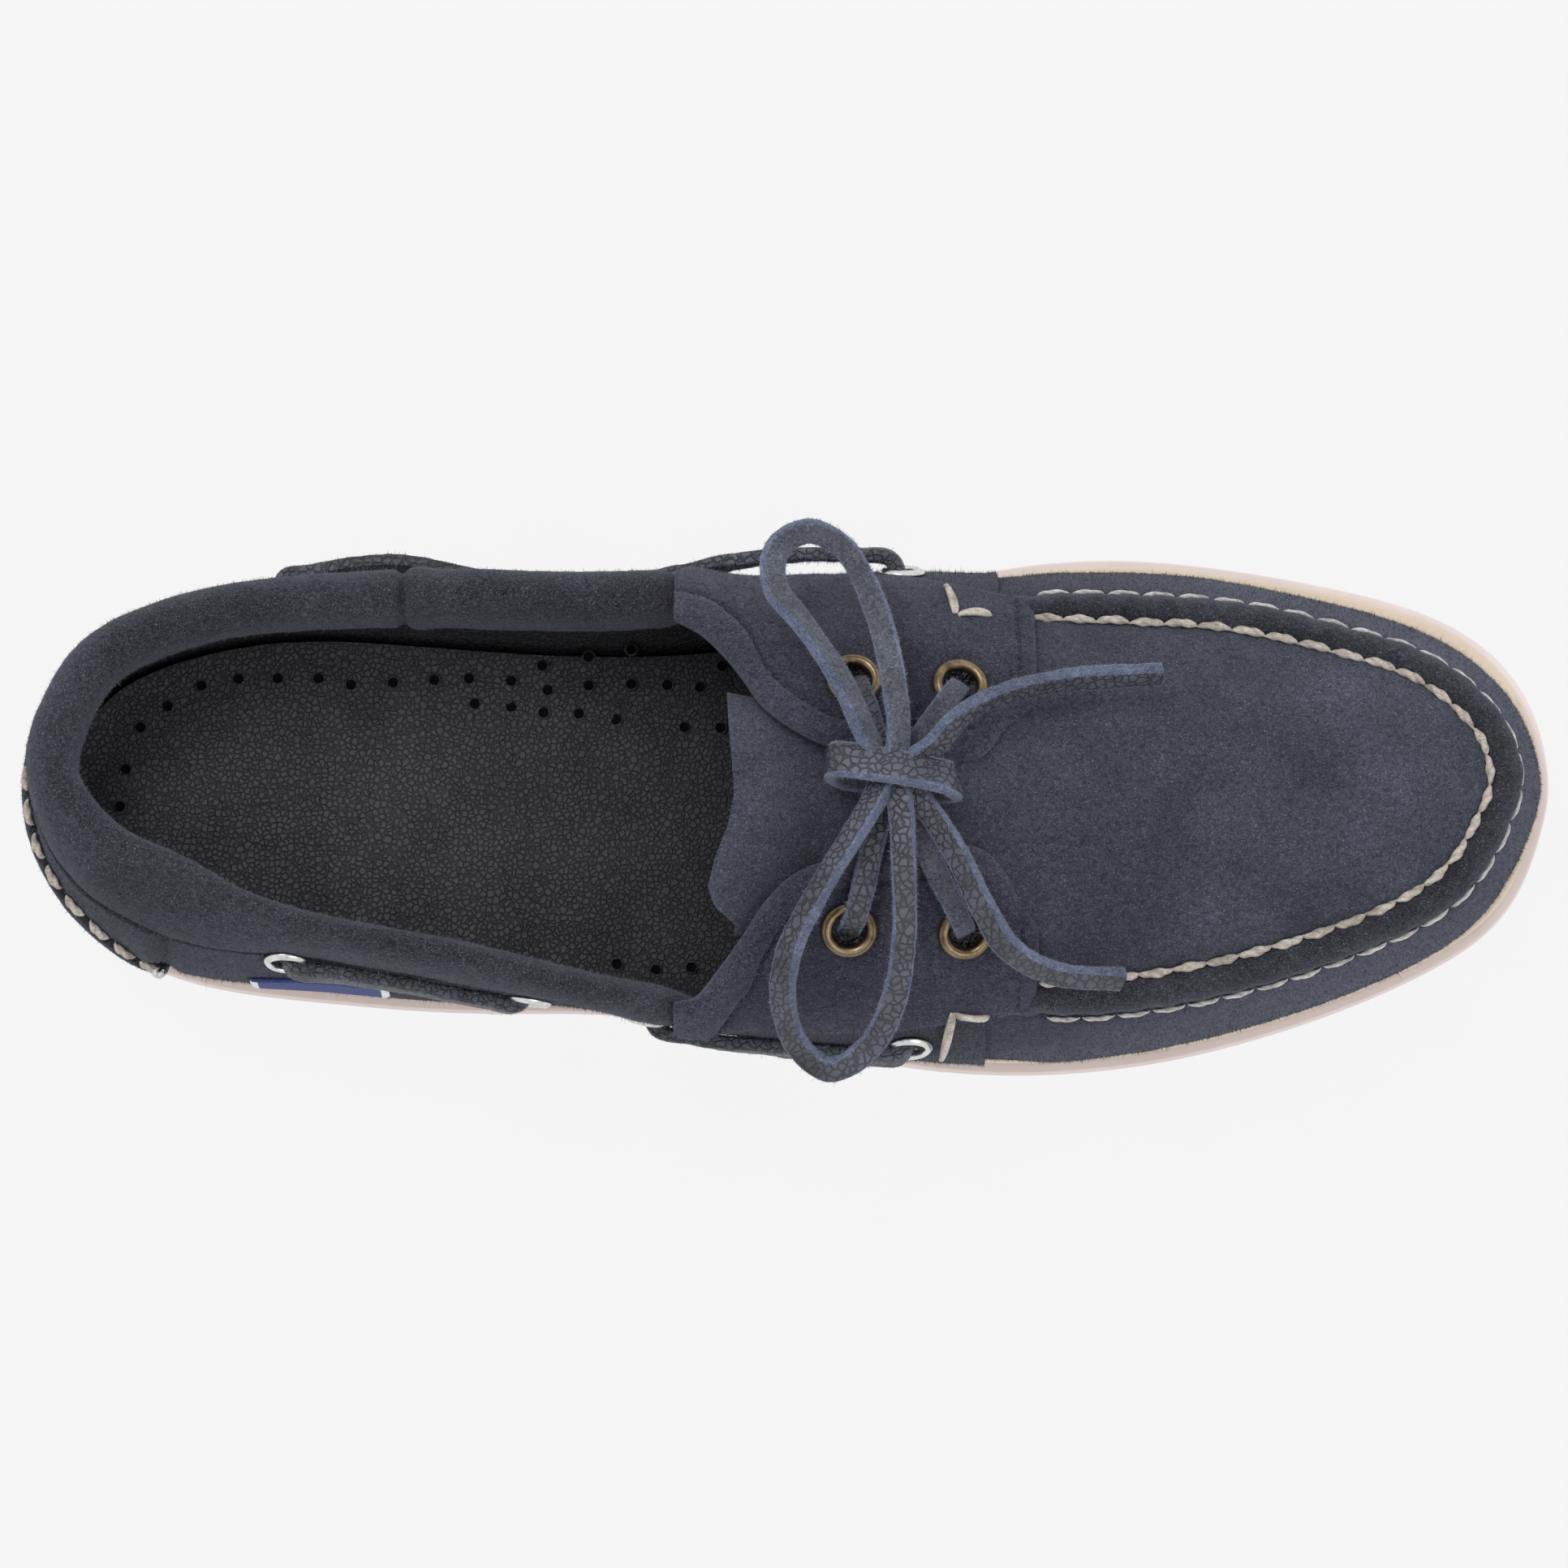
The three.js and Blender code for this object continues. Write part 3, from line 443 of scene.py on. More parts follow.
def catmull(points, count):
    """Points evenly spaced along a smooth curve through a list of points."""
    points = np.asarray(points, float)
    padded = np.vstack([2 * points[0] - points[1], points, 2 * points[-1] - points[-2]])
    gaps = np.linalg.norm(np.diff(padded, axis=0), axis=1) ** 0.5
    knots = np.concatenate([[0], np.cumsum(np.maximum(gaps, 1e-6))])
    fine = []
    for i in range(1, len(padded) - 2):
        t = np.linspace(knots[i], knots[i + 1], 24, endpoint=False)[:, None]
        p = [padded[i + k] for k in (-1, 0, 1, 2)]
        k = [knots[i + j] for j in (-1, 0, 1, 2)]
        a = [((k[j + 1] - t) * p[j] + (t - k[j]) * p[j + 1]) / (k[j + 1] - k[j]) for j in range(3)]
        b = [((k[j + 2] - t) * a[j] + (t - k[j]) * a[j + 1]) / (k[j + 2] - k[j]) for j in range(2)]
        fine.append(((k[2] - t) * b[0] + (t - k[1]) * b[1]) / (k[2] - k[1]))
    fine = np.vstack([*fine, points[-1:]])
    return resample(fine, count)


def resample(points, count):
    """Points evenly spaced along a polyline."""
    reach = reach_along(points)
    return read_along(reach, points, np.linspace(0, reach[-1], count))


def reach_along(points):
    """Length of a polyline up to each of its points."""
    return np.concatenate([[0], np.cumsum(np.linalg.norm(np.diff(points, axis=0), axis=1))])


def read_along(reach, values, places):
    """Values of three columns at places along a path."""
    return np.stack([np.interp(places, reach, values[:, i]) for i in range(3)], -1)


# Materials

def material(name, base, roughness, **sockets):
    """Principled material and its tree; sockets are set on the shader by name."""
    made = bpy.data.materials.new(name)
    made.use_nodes = True
    shader = made.node_tree.nodes["Principled BSDF"]
    shader.inputs["Base Color"].default_value = (*base, 1)
    shader.inputs["Roughness"].default_value = roughness
    for socket, value in sockets.items():
        shader.inputs[socket].default_value = value
    return made, made.node_tree, shader


def noise(tree, scale, detail=4.0, rough=0.6, stretch=(1, 1, 1), distortion=0.0):
    """Noise over the object's own coordinates; scale in cells a metre."""
    coordinates = tree.nodes.new("ShaderNodeTexCoord")
    mapping = tree.nodes.new("ShaderNodeMapping")
    mapping.inputs["Scale"].default_value = stretch
    tree.links.new(coordinates.outputs["Object"], mapping.inputs["Vector"])
    made = tree.nodes.new("ShaderNodeTexNoise")
    made.inputs["Scale"].default_value = scale
    made.inputs["Detail"].default_value = detail
    made.inputs["Roughness"].default_value = rough
    made.inputs["Distortion"].default_value = distortion
    tree.links.new(mapping.outputs["Vector"], made.inputs["Vector"])
    return made.outputs["Fac"]


def ramp(tree, value, stops):
    """Colours by a value from 0 to 1."""
    made = tree.nodes.new("ShaderNodeValToRGB")
    elements = made.color_ramp.elements
    while len(elements) < len(stops):
        elements.new(0.5)
    for element, (place, colour) in zip(elements, stops):
        element.position = place
        element.color = (*colour, 1)
    tree.links.new(value, made.inputs["Fac"])
    return made.outputs["Color"]


def blended(tree, kind, factor, a, b):
    """Colour mix of two colours; factor is a number or a socket."""
    made = tree.nodes.new("ShaderNodeMix")
    made.data_type = "RGBA"
    made.blend_type = kind
    made.clamp_result = True
    for socket, value in ((made.inputs["Factor"], factor), (made.inputs[6], a), (made.inputs[7], b)):
        if isinstance(value, bpy.types.NodeSocket):
            tree.links.new(value, socket)
        elif isinstance(value, (int, float)):
            socket.default_value = value
        else:
            socket.default_value = (*value, 1)
    return made.outputs[2]


def calculate(tree, kind, a, b):
    made = tree.nodes.new("ShaderNodeMath")
    made.operation = kind
    for socket, value in zip(made.inputs, (a, b)):
        if isinstance(value, bpy.types.NodeSocket):
            tree.links.new(value, socket)
        else:
            socket.default_value = value
    return made.outputs[0]


def bump(tree, shader, height, strength, depth):
    """Bump of a depth in millimetres."""
    made = tree.nodes.new("ShaderNodeBump")
    made.inputs["Strength"].default_value = strength
    made.inputs["Distance"].default_value = depth * 0.001
    tree.links.new(height, made.inputs["Height"])
    tree.links.new(made.outputs["Normal"], shader.inputs["Normal"])


def attribute(tree, name):
    made = tree.nodes.new("ShaderNodeAttribute")
    made.attribute_name = name
    return made.outputs["Fac"]


def toned(tree, colour):
    """Colour darkened or lifted by the mesh's tone, which holds random tone and, on many pieces, painted
    shade and light.
    """
    tone = ramp(tree, attribute(tree, "tone"), [(0.0, (0, 0, 0)), (0.5, (0.5, 0.5, 0.5)), (1.0, (1, 1, 1))])
    return blended(tree, "OVERLAY", 0.85, colour, tone)


def suede(name, dark, light, patch=0.35, sheen=0.25):
    """Napped leather: short strokes, speckles and brushed patches; tone darkens or lifts it, painted shade
    and light included.
    """
    made, tree, shader = material(name, dark, 0.95)
    shader.inputs["Sheen Weight"].default_value = sheen
    shader.inputs["Sheen Roughness"].default_value = 0.45
    shader.inputs["Sheen Tint"].default_value = (0.75, 0.82, 1, 1)
    shader.inputs["Specular IOR Level"].default_value = 0.15
    strokes = noise(tree, 1400, 4, 0.75, stretch=(0.75, 1, 1), distortion=1.2)
    specks = noise(tree, 3200, 2, 0.6)
    patches = noise(tree, 42, 5, 0.62, distortion=0.6)
    mid = tuple(mix(np.array(dark), np.array(light), 0.45))
    colour = ramp(tree, strokes, [(0.36, dark), (0.5, mid), (0.63, light)])
    shade = ramp(tree, patches, [(0.3, (1 - patch,) * 3), (0.7, (1, 1, 1))])
    colour = blended(tree, "MULTIPLY", 1.0, colour, shade)
    bright = ramp(tree, specks, [(0.57, (0, 0, 0)), (0.72, (0.09, 0.092, 0.11))])
    colour = blended(tree, "ADD", 1.0, colour, bright)
    tree.links.new(toned(tree, colour), shader.inputs["Base Color"])
    height = calculate(tree, "ADD", strokes, calculate(tree, "MULTIPLY", specks, 0.5))
    bump(tree, shader, height, 0.9, 0.35)
    return made


def rubber(name, colour, darker):
    """Moulded rubber, slightly translucent, with faint clouding."""
    made, tree, shader = material(name, colour, 0.52)
    shader.inputs["Subsurface Weight"].default_value = 0.15
    shader.inputs["Subsurface Radius"].default_value = (0.004, 0.003, 0.002)
    shader.inputs["Subsurface Scale"].default_value = 1.0
    shader.inputs["Specular IOR Level"].default_value = 0.35
    clouds = noise(tree, 60, 4, 0.5)
    tree.links.new(ramp(tree, clouds, [(0.3, darker), (0.65, colour)]), shader.inputs["Base Color"])
    bump(tree, shader, noise(tree, 1400, 3, 0.6), 0.15, 0.1)
    return made


def smooth_leather(name, dark, light, grain, rough=0.55, crease_shade=0.6):
    """Full-grain leather: pebbled cells with creases, the creases darkened as painted shade so the high spots
    stand lighter.
    """
    made, tree, shader = material(name, dark, rough)
    coordinates = tree.nodes.new("ShaderNodeTexCoord")
    cells = tree.nodes.new("ShaderNodeTexVoronoi")
    cells.feature = "DISTANCE_TO_EDGE"
    cells.inputs["Scale"].default_value = grain
    warp = noise(tree, grain * 0.7, 3, 0.6)
    offset = tree.nodes.new("ShaderNodeVectorMath")
    offset.operation = "MULTIPLY_ADD"
    offset.inputs[1].default_value = (0.0012, 0.0012, 0.0012)
    tree.links.new(warp, offset.inputs[0])
    tree.links.new(coordinates.outputs["Object"], offset.inputs[2])
    tree.links.new(offset.outputs["Vector"], cells.inputs["Vector"])
    creases = ramp(tree, cells.outputs["Distance"], [(0.0, (0.2, 0.2, 0.2)), (0.17, (1, 1, 1))])
    clouds = noise(tree, 70, 5, 0.6)
    colour = ramp(tree, clouds, [(0.3, dark), (0.7, light)])
    # painted shade: the creases between the cells darken the colour
    colour = blended(tree, "MULTIPLY", crease_shade, colour, creases)
    tree.links.new(toned(tree, colour), shader.inputs["Base Color"])
    fine = noise(tree, grain * 2.5, 3, 0.6)
    height = calculate(tree, "ADD", creases, calculate(tree, "MULTIPLY", fine, 0.5))
    bump(tree, shader, height, 0.8, 0.3)
    return made


def metal(name, colour, worn, rough):
    """Plated eyelet metal with rubbed and darkened places."""
    made, tree, shader = material(name, colour, rough)
    shader.inputs["Metallic"].default_value = 1.0
    marks = noise(tree, 420, 5, 0.7)
    tree.links.new(ramp(tree, marks, [(0.35, worn), (0.62, colour)]), shader.inputs["Base Color"])
    bump(tree, shader, noise(tree, 1500, 3, 0.7), 0.2, 0.05)
    return made


def thread(name, dark, light):
    """Waxed thread with fine fibres, a little dirt and painted shade in the grooves between its plies."""
    made, tree, shader = material(name, light, 0.8)
    fibres = noise(tree, 2600, 3, 0.7, stretch=(0.4, 1, 1))
    dirt = noise(tree, 240, 4, 0.65)
    colour = ramp(tree, fibres, [(0.3, dark), (0.62, light)])
    grey = ramp(tree, dirt, [(0.35, (0.5, 0.47, 0.44)), (0.55, (1, 1, 1))])
    colour = blended(tree, "MULTIPLY", 0.8, colour, grey)
    # painted shade: the tone darkens the grooves between the plies
    ply = ramp(tree, attribute(tree, "tone"), [(0.0, (0.25, 0.22, 0.2)), (0.75, (1, 1, 1))])
    tree.links.new(blended(tree, "MULTIPLY", 1.0, colour, ply), shader.inputs["Base Color"])
    bump(tree, shader, fibres, 0.6, 0.15)
    return made


def woven(name, colour, lighter):
    """Tightly woven ribbon."""
    made, tree, shader = material(name, colour, 0.8)
    weave = noise(tree, 2600, 2, 0.5, stretch=(1, 0.35, 1))
    tree.links.new(ramp(tree, weave, [(0.35, colour), (0.65, lighter)]), shader.inputs["Base Color"])
    bump(tree, shader, weave, 0.5, 0.1)
    return made


def plain_dark(name, colour):
    made, tree, shader = material(name, colour, 0.9)
    shade = noise(tree, 300, 3, 0.6)
    shader.inputs["Specular IOR Level"].default_value = 0.1
    darker = tuple(0.6 * c for c in colour)
    tree.links.new(ramp(tree, shade, [(0.3, darker), (0.7, colour)]), shader.inputs["Base Color"])
    return made


SUEDE_DARK = suede("suede_dark", (0.011, 0.011, 0.016), (0.05, 0.049, 0.064), patch=0.5)
SUEDE_VAMP = suede("suede_vamp", (0.017, 0.018, 0.031), (0.073, 0.075, 0.112), patch=0.45)
SUEDE_APRON = suede("suede_apron", (0.022, 0.026, 0.037), (0.07, 0.076, 0.104), patch=0.34)
SUEDE_SEAM = suede("suede_seam", (0.01, 0.01, 0.014), (0.044, 0.044, 0.056))
SUEDE_FIBRE = suede("suede_fibre", (0.04, 0.041, 0.056), (0.15, 0.152, 0.195))
LINING = smooth_leather("lining_leather", (0.014, 0.0145, 0.019), (0.026, 0.0265, 0.033), 900)
FOOTBED = smooth_leather("footbed_leather", (0.0129, 0.0134, 0.0176), (0.0291, 0.0294, 0.0372), 900, 0.6, 0.5)
RUBBER_WHITE = rubber("rubber_white", (0.72, 0.635, 0.62), (0.67, 0.59, 0.575))
RUBBER_BEIGE = rubber("rubber_beige", (0.66, 0.56, 0.44), (0.62, 0.52, 0.41))
BRASS = metal("brass_antique", (0.28, 0.21, 0.125), (0.12, 0.09, 0.055), 0.36)
SILVER = metal("silver_bright", (0.78, 0.78, 0.77), (0.55, 0.55, 0.55), 0.25)
THREAD_CREAM = thread("thread_cream", (0.26, 0.23, 0.2), (0.54, 0.485, 0.43))
THREAD_PALE = thread("thread_pale", (0.36, 0.35, 0.345), (0.68, 0.66, 0.64))
THREAD_TAN = thread("thread_tan", (0.34, 0.3, 0.265), (0.62, 0.56, 0.5))
THREAD_WHITE = thread("thread_white", (0.5, 0.49, 0.48), (0.8, 0.78, 0.76))
THREAD_NAVY = thread("thread_navy", (0.008, 0.01, 0.016), (0.035, 0.04, 0.055))
LACE_GRAIN = smooth_leather("lace_grain", (0.036, 0.04, 0.053), (0.078, 0.085, 0.113), 640, 0.45, crease_shade=0.9)
LACE_EDGE = suede("lace_edge", (0.055, 0.075, 0.13), (0.18, 0.21, 0.31), sheen=0.35)
LACE_FLESH = suede("lace_flesh", (0.045, 0.052, 0.07), (0.15, 0.16, 0.19), sheen=0.3)
LACE_FIBRE = suede("lace_fibre", (0.11, 0.125, 0.17), (0.25, 0.27, 0.33), sheen=0.3)
LABEL_BLUE = woven("label_blue", (0.02, 0.035, 0.14), (0.05, 0.07, 0.22))
LABEL_WHITE = woven("label_white", (0.6, 0.6, 0.62), (0.8, 0.8, 0.8))
# painted shade: near-black finish for the flat wells of the pinholes
HOLE_SHADE = plain_dark("hole_painted_shade", (0.0015, 0.0015, 0.002))

# Camera

TARGET = (0.0, 2.75, 30.0)
CAMERA_DISTANCE = 1300.0
CAMERA_ELEVATION = math.radians(81)
CAMERA_LENS = 153.8


def camera():
    data = bpy.data.cameras.new("camera")
    data.lens = CAMERA_LENS
    data.sensor_width = 36
    made = bpy.data.objects.new("camera", data)
    bpy.context.scene.collection.objects.link(made)
    target = Vector(to_frame(TARGET))
    reach = CAMERA_DISTANCE * 0.001
    made.location = target + Vector((0, -math.cos(CAMERA_ELEVATION), math.sin(CAMERA_ELEVATION))) * reach
    made.rotation_euler = (target - made.location).to_track_quat("-Z", "Y").to_euler()
    bpy.context.scene.camera = made


camera()

# Seats of the eyelets on the form

COLLAR_FRONT = place_at(0.423)
COLLAR_HIGH = 11.0
COLLAR_WIDE_BACK = 10.0
COLLAR_WIDE_INNER = 9.6
COLLAR_WIDE_OUTER = 7.0
COLLAR_NARROWS = place_at(0.03), place_at(0.15)
TOP_EYELETS = {
    "eyelet_inner_front": (0.604, 0.15),
    "eyelet_inner_rear": (0.537, 0.155),
    "eyelet_outer_front": (0.607, -0.291),
    "eyelet_outer_rear": (0.534, -0.291),
}
SIDE_EYELETS = {
    "ring_inner_1": (1, 0.164, 3.9),
    "ring_inner_2": (1, 0.319, 5.2),
    "ring_inner_3": (1, 0.406, 5.2),
    "ring_inner_4": (1, 0.57, -0.3),
    "ring_outer_1": (-1, 0.1745, 0.7),
    "ring_outer_2": (-1, 0.329, 3.0),
    "ring_outer_3": (-1, 0.406, 5.2),
    "ring_outer_4": (-1, 0.574, 1.0),
}


def quarter_top(x):
    return rim_height(x) - COLLAR_HIGH


def top_seat(along, across):
    """Share and level of the top that lies over a place in plan."""
    x, y = place_at(along), across * BALL_WIDTH
    side = -1 if y < spine_y(x) else 1
    level = float(level_where(side, x, 1.0, 2.0, lambda p: p[..., 1] * side < y * side))
    return float(share_at(side, x, level)), level


def wall_seat(side, along, under):
    x = place_at(along)
    z = quarter_top(x) - under
    level = float(level_where(side, x, 0.0, 1.0, lambda p: p[..., 2] > z))
    return float(share_at(side, x, level)), level


top_seats = {name: top_seat(*row) for name, row in TOP_EYELETS.items()}
side_seats = {name: wall_seat(*row) for name, row in SIDE_EYELETS.items()}


def seat_frame(seat):
    """Point on the form, its normal and two directions across it."""
    u, level = np.array(seat[0]), np.array(seat[1])
    point, normal = form(u, level), form_normal(u, level)
    first = unit(np.cross(normal, (0.0, 1.0, 0.0) if abs(normal[1]) < 0.8 else (0.0, 0.0, 1.0)))
    return point, normal, first, np.cross(normal, first)


def bore(piece, seats, radius, segments=40):
    """Cuts round holes through a piece at seats of the form."""
    points, faces = [], []
    for seat in seats:
        point, normal, first, second = seat_frame(seat)
        turn = np.linspace(0, 2 * math.pi, segments, endpoint=False)[:, None]
        circle = (np.cos(turn) * first + np.sin(turn) * second) * radius
        start = len(points) * segments * 2
        points.append(np.concatenate([point + circle - normal * 9, point + circle + normal * 9]))
        low = start + np.arange(segments)
        faces.append((strip_faces(low, low + segments, True), low[::-1], low + segments))
    mesh = bpy.data.meshes.new("bore")
    quads = [tuple(int(i) for i in q) for strip, _, _ in faces for q in strip]
    caps = [tuple(int(i) for i in cap) for _, low, high in faces for cap in (low, high)]
    mesh.from_pydata([tuple(p) for p in to_frame(np.concatenate(points))], [], quads + caps)
    cutter = bpy.data.objects.new("bore", mesh)
    bpy.context.scene.collection.objects.link(cutter)
    cut = piece.modifiers.new("bore", "BOOLEAN")
    cut.object = cutter
    cut.operation = "DIFFERENCE"
    cut.solver = "EXACT"
    graph = bpy.context.evaluated_depsgraph_get()
    old = piece.data
    piece.data = bpy.data.meshes.new_from_object(piece.evaluated_get(graph))
    piece.modifiers.clear()
    bpy.data.objects.remove(cutter)
    bpy.data.meshes.remove(mesh)
    bpy.data.meshes.remove(old)


# Short fibres standing off a surface

FIBRE_WIDE = 0.1


def nap(name, surfaces, count, stuff, length, lie=1.0, seed=0):
    """One thin triangle a fibre, scattered over grids of points with their outward directions."""
    rng = np.random.default_rng(RANDOM_SEED + seed)
    corners, normals, sizes = [], [], []
    for grid, out in surfaces:
        rows, columns = grid.shape[:2]
        faces = grid_faces(rows, columns)
        flat, flat_out = grid.reshape(-1, 3), out.reshape(-1, 3)
        corners.append(flat[faces])
        normals.append(flat_out[faces[:, 0]])
        a, b, c, d = (flat[faces[:, i]] for i in range(4))
        sizes.append(np.linalg.norm(np.cross(c - a, d - b), axis=1) / 2)
    corners, normals, sizes = np.concatenate(corners), np.concatenate(normals), np.concatenate(sizes)
    pick = rng.choice(len(sizes), count, p=sizes / sizes.sum())
    s, t = rng.random((count, 1)), rng.random((count, 1))
    a, b, c, d = (corners[pick, i] for i in range(4))
    root = (a * (1 - s) + b * s) * (1 - t) + (d * (1 - s) + c * s) * t
    normal = unit(normals[pick])
    lean = rng.normal(size=(count, 3))
    lean = unit(lean - normal * np.einsum("ij,ij->i", lean, normal)[:, None])
    reach = length * rng.lognormal(0, 0.4, (count, 1))
    rise = rng.random((count, 1)) ** lie
    tip = root + (normal * rise + lean * np.sqrt(1 - 0.8 * rise**2)) * reach * 0.8
    across = unit(np.cross(tip - root, normal + lean * 0.3)) * FIBRE_WIDE / 2
    points = np.stack([root - across - normal * 0.05, root + across - normal * 0.05, tip], 1).reshape(-1, 3)
    tone = np.repeat(0.5 + 0.28 * rng.normal(size=count), 3).clip(0.05, 0.95)
    faces = np.arange(count * 3).reshape(-1, 3)
    return mesh_object(name, points, faces, stuff, smooth=False, tone=tone)


# Sole

OUTSOLE_COLUMNS = 900
MIDSOLE_COLUMNS = 1760
SOLE_STEP = 1.9
RIB_PITCH = 1.8
RIB_DEEP = 0.45
ARCH = [(0.29, 0.0), (0.292, 0.1), (0.33, 0.135), (0.44, 0.115), (0.53, 0.03), (0.557, 0.0)]
TOE_SPRING = [(0.76, 0.0), (0.84, 0.012), (0.91, 0.038), (0.97, 0.075), (1.04, 0.12)]
# Rounded lower edge of the sole: inset, lift
SOLE_EDGE = [(1.0, 0.0), (0.55, 0.25), (0.15, 0.7), (0.0, 1.2)]
# How far the sole's side draws in towards the ground: along, inset
SOLE_DRAFT = [(0, 2.2), (0.2, 2.2), (0.288, 2.0), (0.3, 0.7), (0.6, 0.5), (0.72, 0.9), (0.84, 2.0), (1, 2.0)]
# Steps of the outsole's side under its top edge: under, inset
SOLE_SIDE = [
    (2.9, 0.0), (2.6, 0.05), (2.35, 0.75), (2.1, 0.9), (1.7, 0.9), (1.45, 0.75), (1.2, 0.1), (0.5, 0.0),
    (0.15, 0.1), (0.0, 0.4),
]


def sole_under(x):
    """Height of the sole's underside at a place along."""
    arch = np.interp((x - HEEL_BACK) / LENGTH, [a for a, _ in ARCH], [h for _, h in ARCH], 0, 0)
    spring = np.interp((x - HEEL_BACK) / LENGTH, [a for a, _ in TOE_SPRING], [h for _, h in TOE_SPRING], 0)
    return (arch + spring) * HEIGHT


# Grooves across the underside: place of the first along, count
LUG_ROWS = [(0.055, 7), (0.6, 12)]
LUG_PITCH = 9.0
LUG_WIDE = 2.0
LUG_DEEP = 1.6


def lug_groove(x):
    """Depth of the cross grooves at a place along."""
    depth = np.zeros_like(x)
    for along, count in LUG_ROWS:
        behind = x - place_at(along)
        inside = (behind > 0) & (behind < count * LUG_PITCH) & (np.mod(behind, LUG_PITCH) < LUG_WIDE)
        depth = np.where(inside, LUG_DEEP, depth)
    return depth


def sole_ring(u, inset, height):
    p = foot_point(u) + outward(u) * (welt_of(u) - inset)[..., None]
    p[..., 2] = height
    return p


def outsole():
    u = np.arange(OUTSOLE_COLUMNS) / OUTSOLE_COLUMNS
    x = foot_x(u)
    top = sole_top(x) - MIDSOLE - GAP
    under = sole_under(x)
    draft = np.interp((x - HEEL_BACK) / LENGTH, *zip(*SOLE_DRAFT))
    groove = lug_groove(x)
    rings = [sole_ring(u, np.full_like(u, 9.0), under + groove + 0.02)]
    rings += [sole_ring(u, draft + inset, np.minimum(under + np.maximum(lift, groove), top - 3.1))
              for inset, lift in SOLE_EDGE]
    rings += [sole_ring(u, np.full_like(u, inset), top - low) for low, inset in SOLE_SIDE]
    rings += [sole_ring(u, np.full_like(u, 6.0), top)]
    grid = np.stack(rings)
    faces = closed_out(grid.reshape(-1, 3), grid_faces(*grid.shape[:2], wrap=True))
    made = mesh_object("outsole_shell", grid, faces, RUBBER_WHITE, smooth=False)
    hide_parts("outsole")


WAVE_PITCH = 4.2
WAVE_SWAY = 1.6
WAVE_LONG = 11.0


def tread():
    """Underside with wavy cuts across it."""
    us = np.linspace(0.012, 0.488, 240)
    right = sole_ring(us, np.full_like(us, 8.9), np.zeros_like(us))
    left = sole_ring(1 - us, np.full_like(us, 8.9), np.zeros_like(us))
    x = np.linspace(right[0, 0], right[-1, 0], 420)
    y_low = np.interp(x, right[:, 0], right[:, 1])
    y_high = np.interp(x, left[:, 0], left[:, 1])
    share = np.linspace(0, 1, 33)[:, None]
    y = mix(y_low[None], y_high[None], share)
    sway = WAVE_SWAY * np.sin(2 * math.pi * y / WAVE_LONG)
    phase = np.abs(np.mod(x / WAVE_PITCH, 1.0) - 0.5)
    cut = np.where(phase < 0.1, 1.1, 0.0)[None] * np.sin(math.pi * share) ** 0.3
    xs = x[None] + sway * np.sin(math.pi * share)
    z = sole_under(xs) + 0.02 + np.maximum(cut, lug_groove(xs))
    grid = np.stack([xs, y, z], -1)
    faces = facing_out(grid.reshape(-1, 3), grid_faces(*grid.shape[:2]), (0, 0, -1))
    made = mesh_object("tread", grid, faces, RUBBER_WHITE, smooth=False)


def midsole():
    """Beige strip between sole and upper, ribbed where it meets the upper."""
    u = np.arange(MIDSOLE_COLUMNS) / MIDSOLE_COLUMNS
    edge = foot_point(u)
    ribs = 0.5 - 0.5 * np.cos(2 * math.pi * reach_along(edge) / RIB_PITCH)
    top = sole_top(foot_x(u))
    wide = welt_of(u) - SOLE_STEP
    rows = [
        (SOLE_STEP + 4, -MIDSOLE - 0.2), (SOLE_STEP + 0.3, -MIDSOLE), (SOLE_STEP, -MIDSOLE + 0.3),
        (SOLE_STEP, -1.3), (SOLE_STEP + 0.1, -0.8), (SOLE_STEP + 0.35, -0.35), (SOLE_STEP + 0.8, -0.05),
    ]
    rings = [sole_ring(u, np.full_like(u, inset), top + lift) for inset, lift in rows]
    inner = np.maximum(wide - 0.75, 0.15)
    rings.append(sole_ring(u, SOLE_STEP + inner * 0.62, top))
    rings.append(sole_ring(u, SOLE_STEP + inner * 0.8, top + 0.1 + RIB_DEEP * ribs))
    rings.append(sole_ring(u, SOLE_STEP + wide + 0.4, top + 0.2 + RIB_DEEP * ribs))
    rings.append(sole_ring(u, SOLE_STEP + wide + 3.4, top - 0.4))
    grid = np.stack(rings)
    faces = closed_out(grid.reshape(-1, 3), grid_faces(*grid.shape[:2], wrap=True))
    made = mesh_object("midsole_strip", grid, faces, RUBBER_BEIGE)
    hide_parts("midsole")


# Footbed with its pinholes: places in plan

PINHOLES = [
    (-129, -1.4), (-128, 6), (-125.2, 14.2), (-120, 18.4), (-113.5, 22.4), (-106.3, 23.8), (-98.6, 23.9),
    (-90.7, 23.9), (-84.4, 22.7), (-76.2, 23.2), (-68.2, 23.7), (-61.4, 24), (-53.2, 23.6), (-47.1, 26.5),
    (-46.1, 21.9), (-60.3, 19.1), (-53.2, 18.6), (-46.9, 17.5), (-38.1, 28.2), (-38.1, 22.9), (-40, 17.4),
    (-29.8, 29.8), (-29.8, 23.3), (-32.8, 16.3), (-22.8, 23.2), (-16.4, 22.9), (-19.4, 15), (-12.4, 15),
    (-32.4, -31.9), (-24.9, -33), (-18, -32.4), (-11, -32), (-12, 27), (-5, 22), (-4, 15),
]


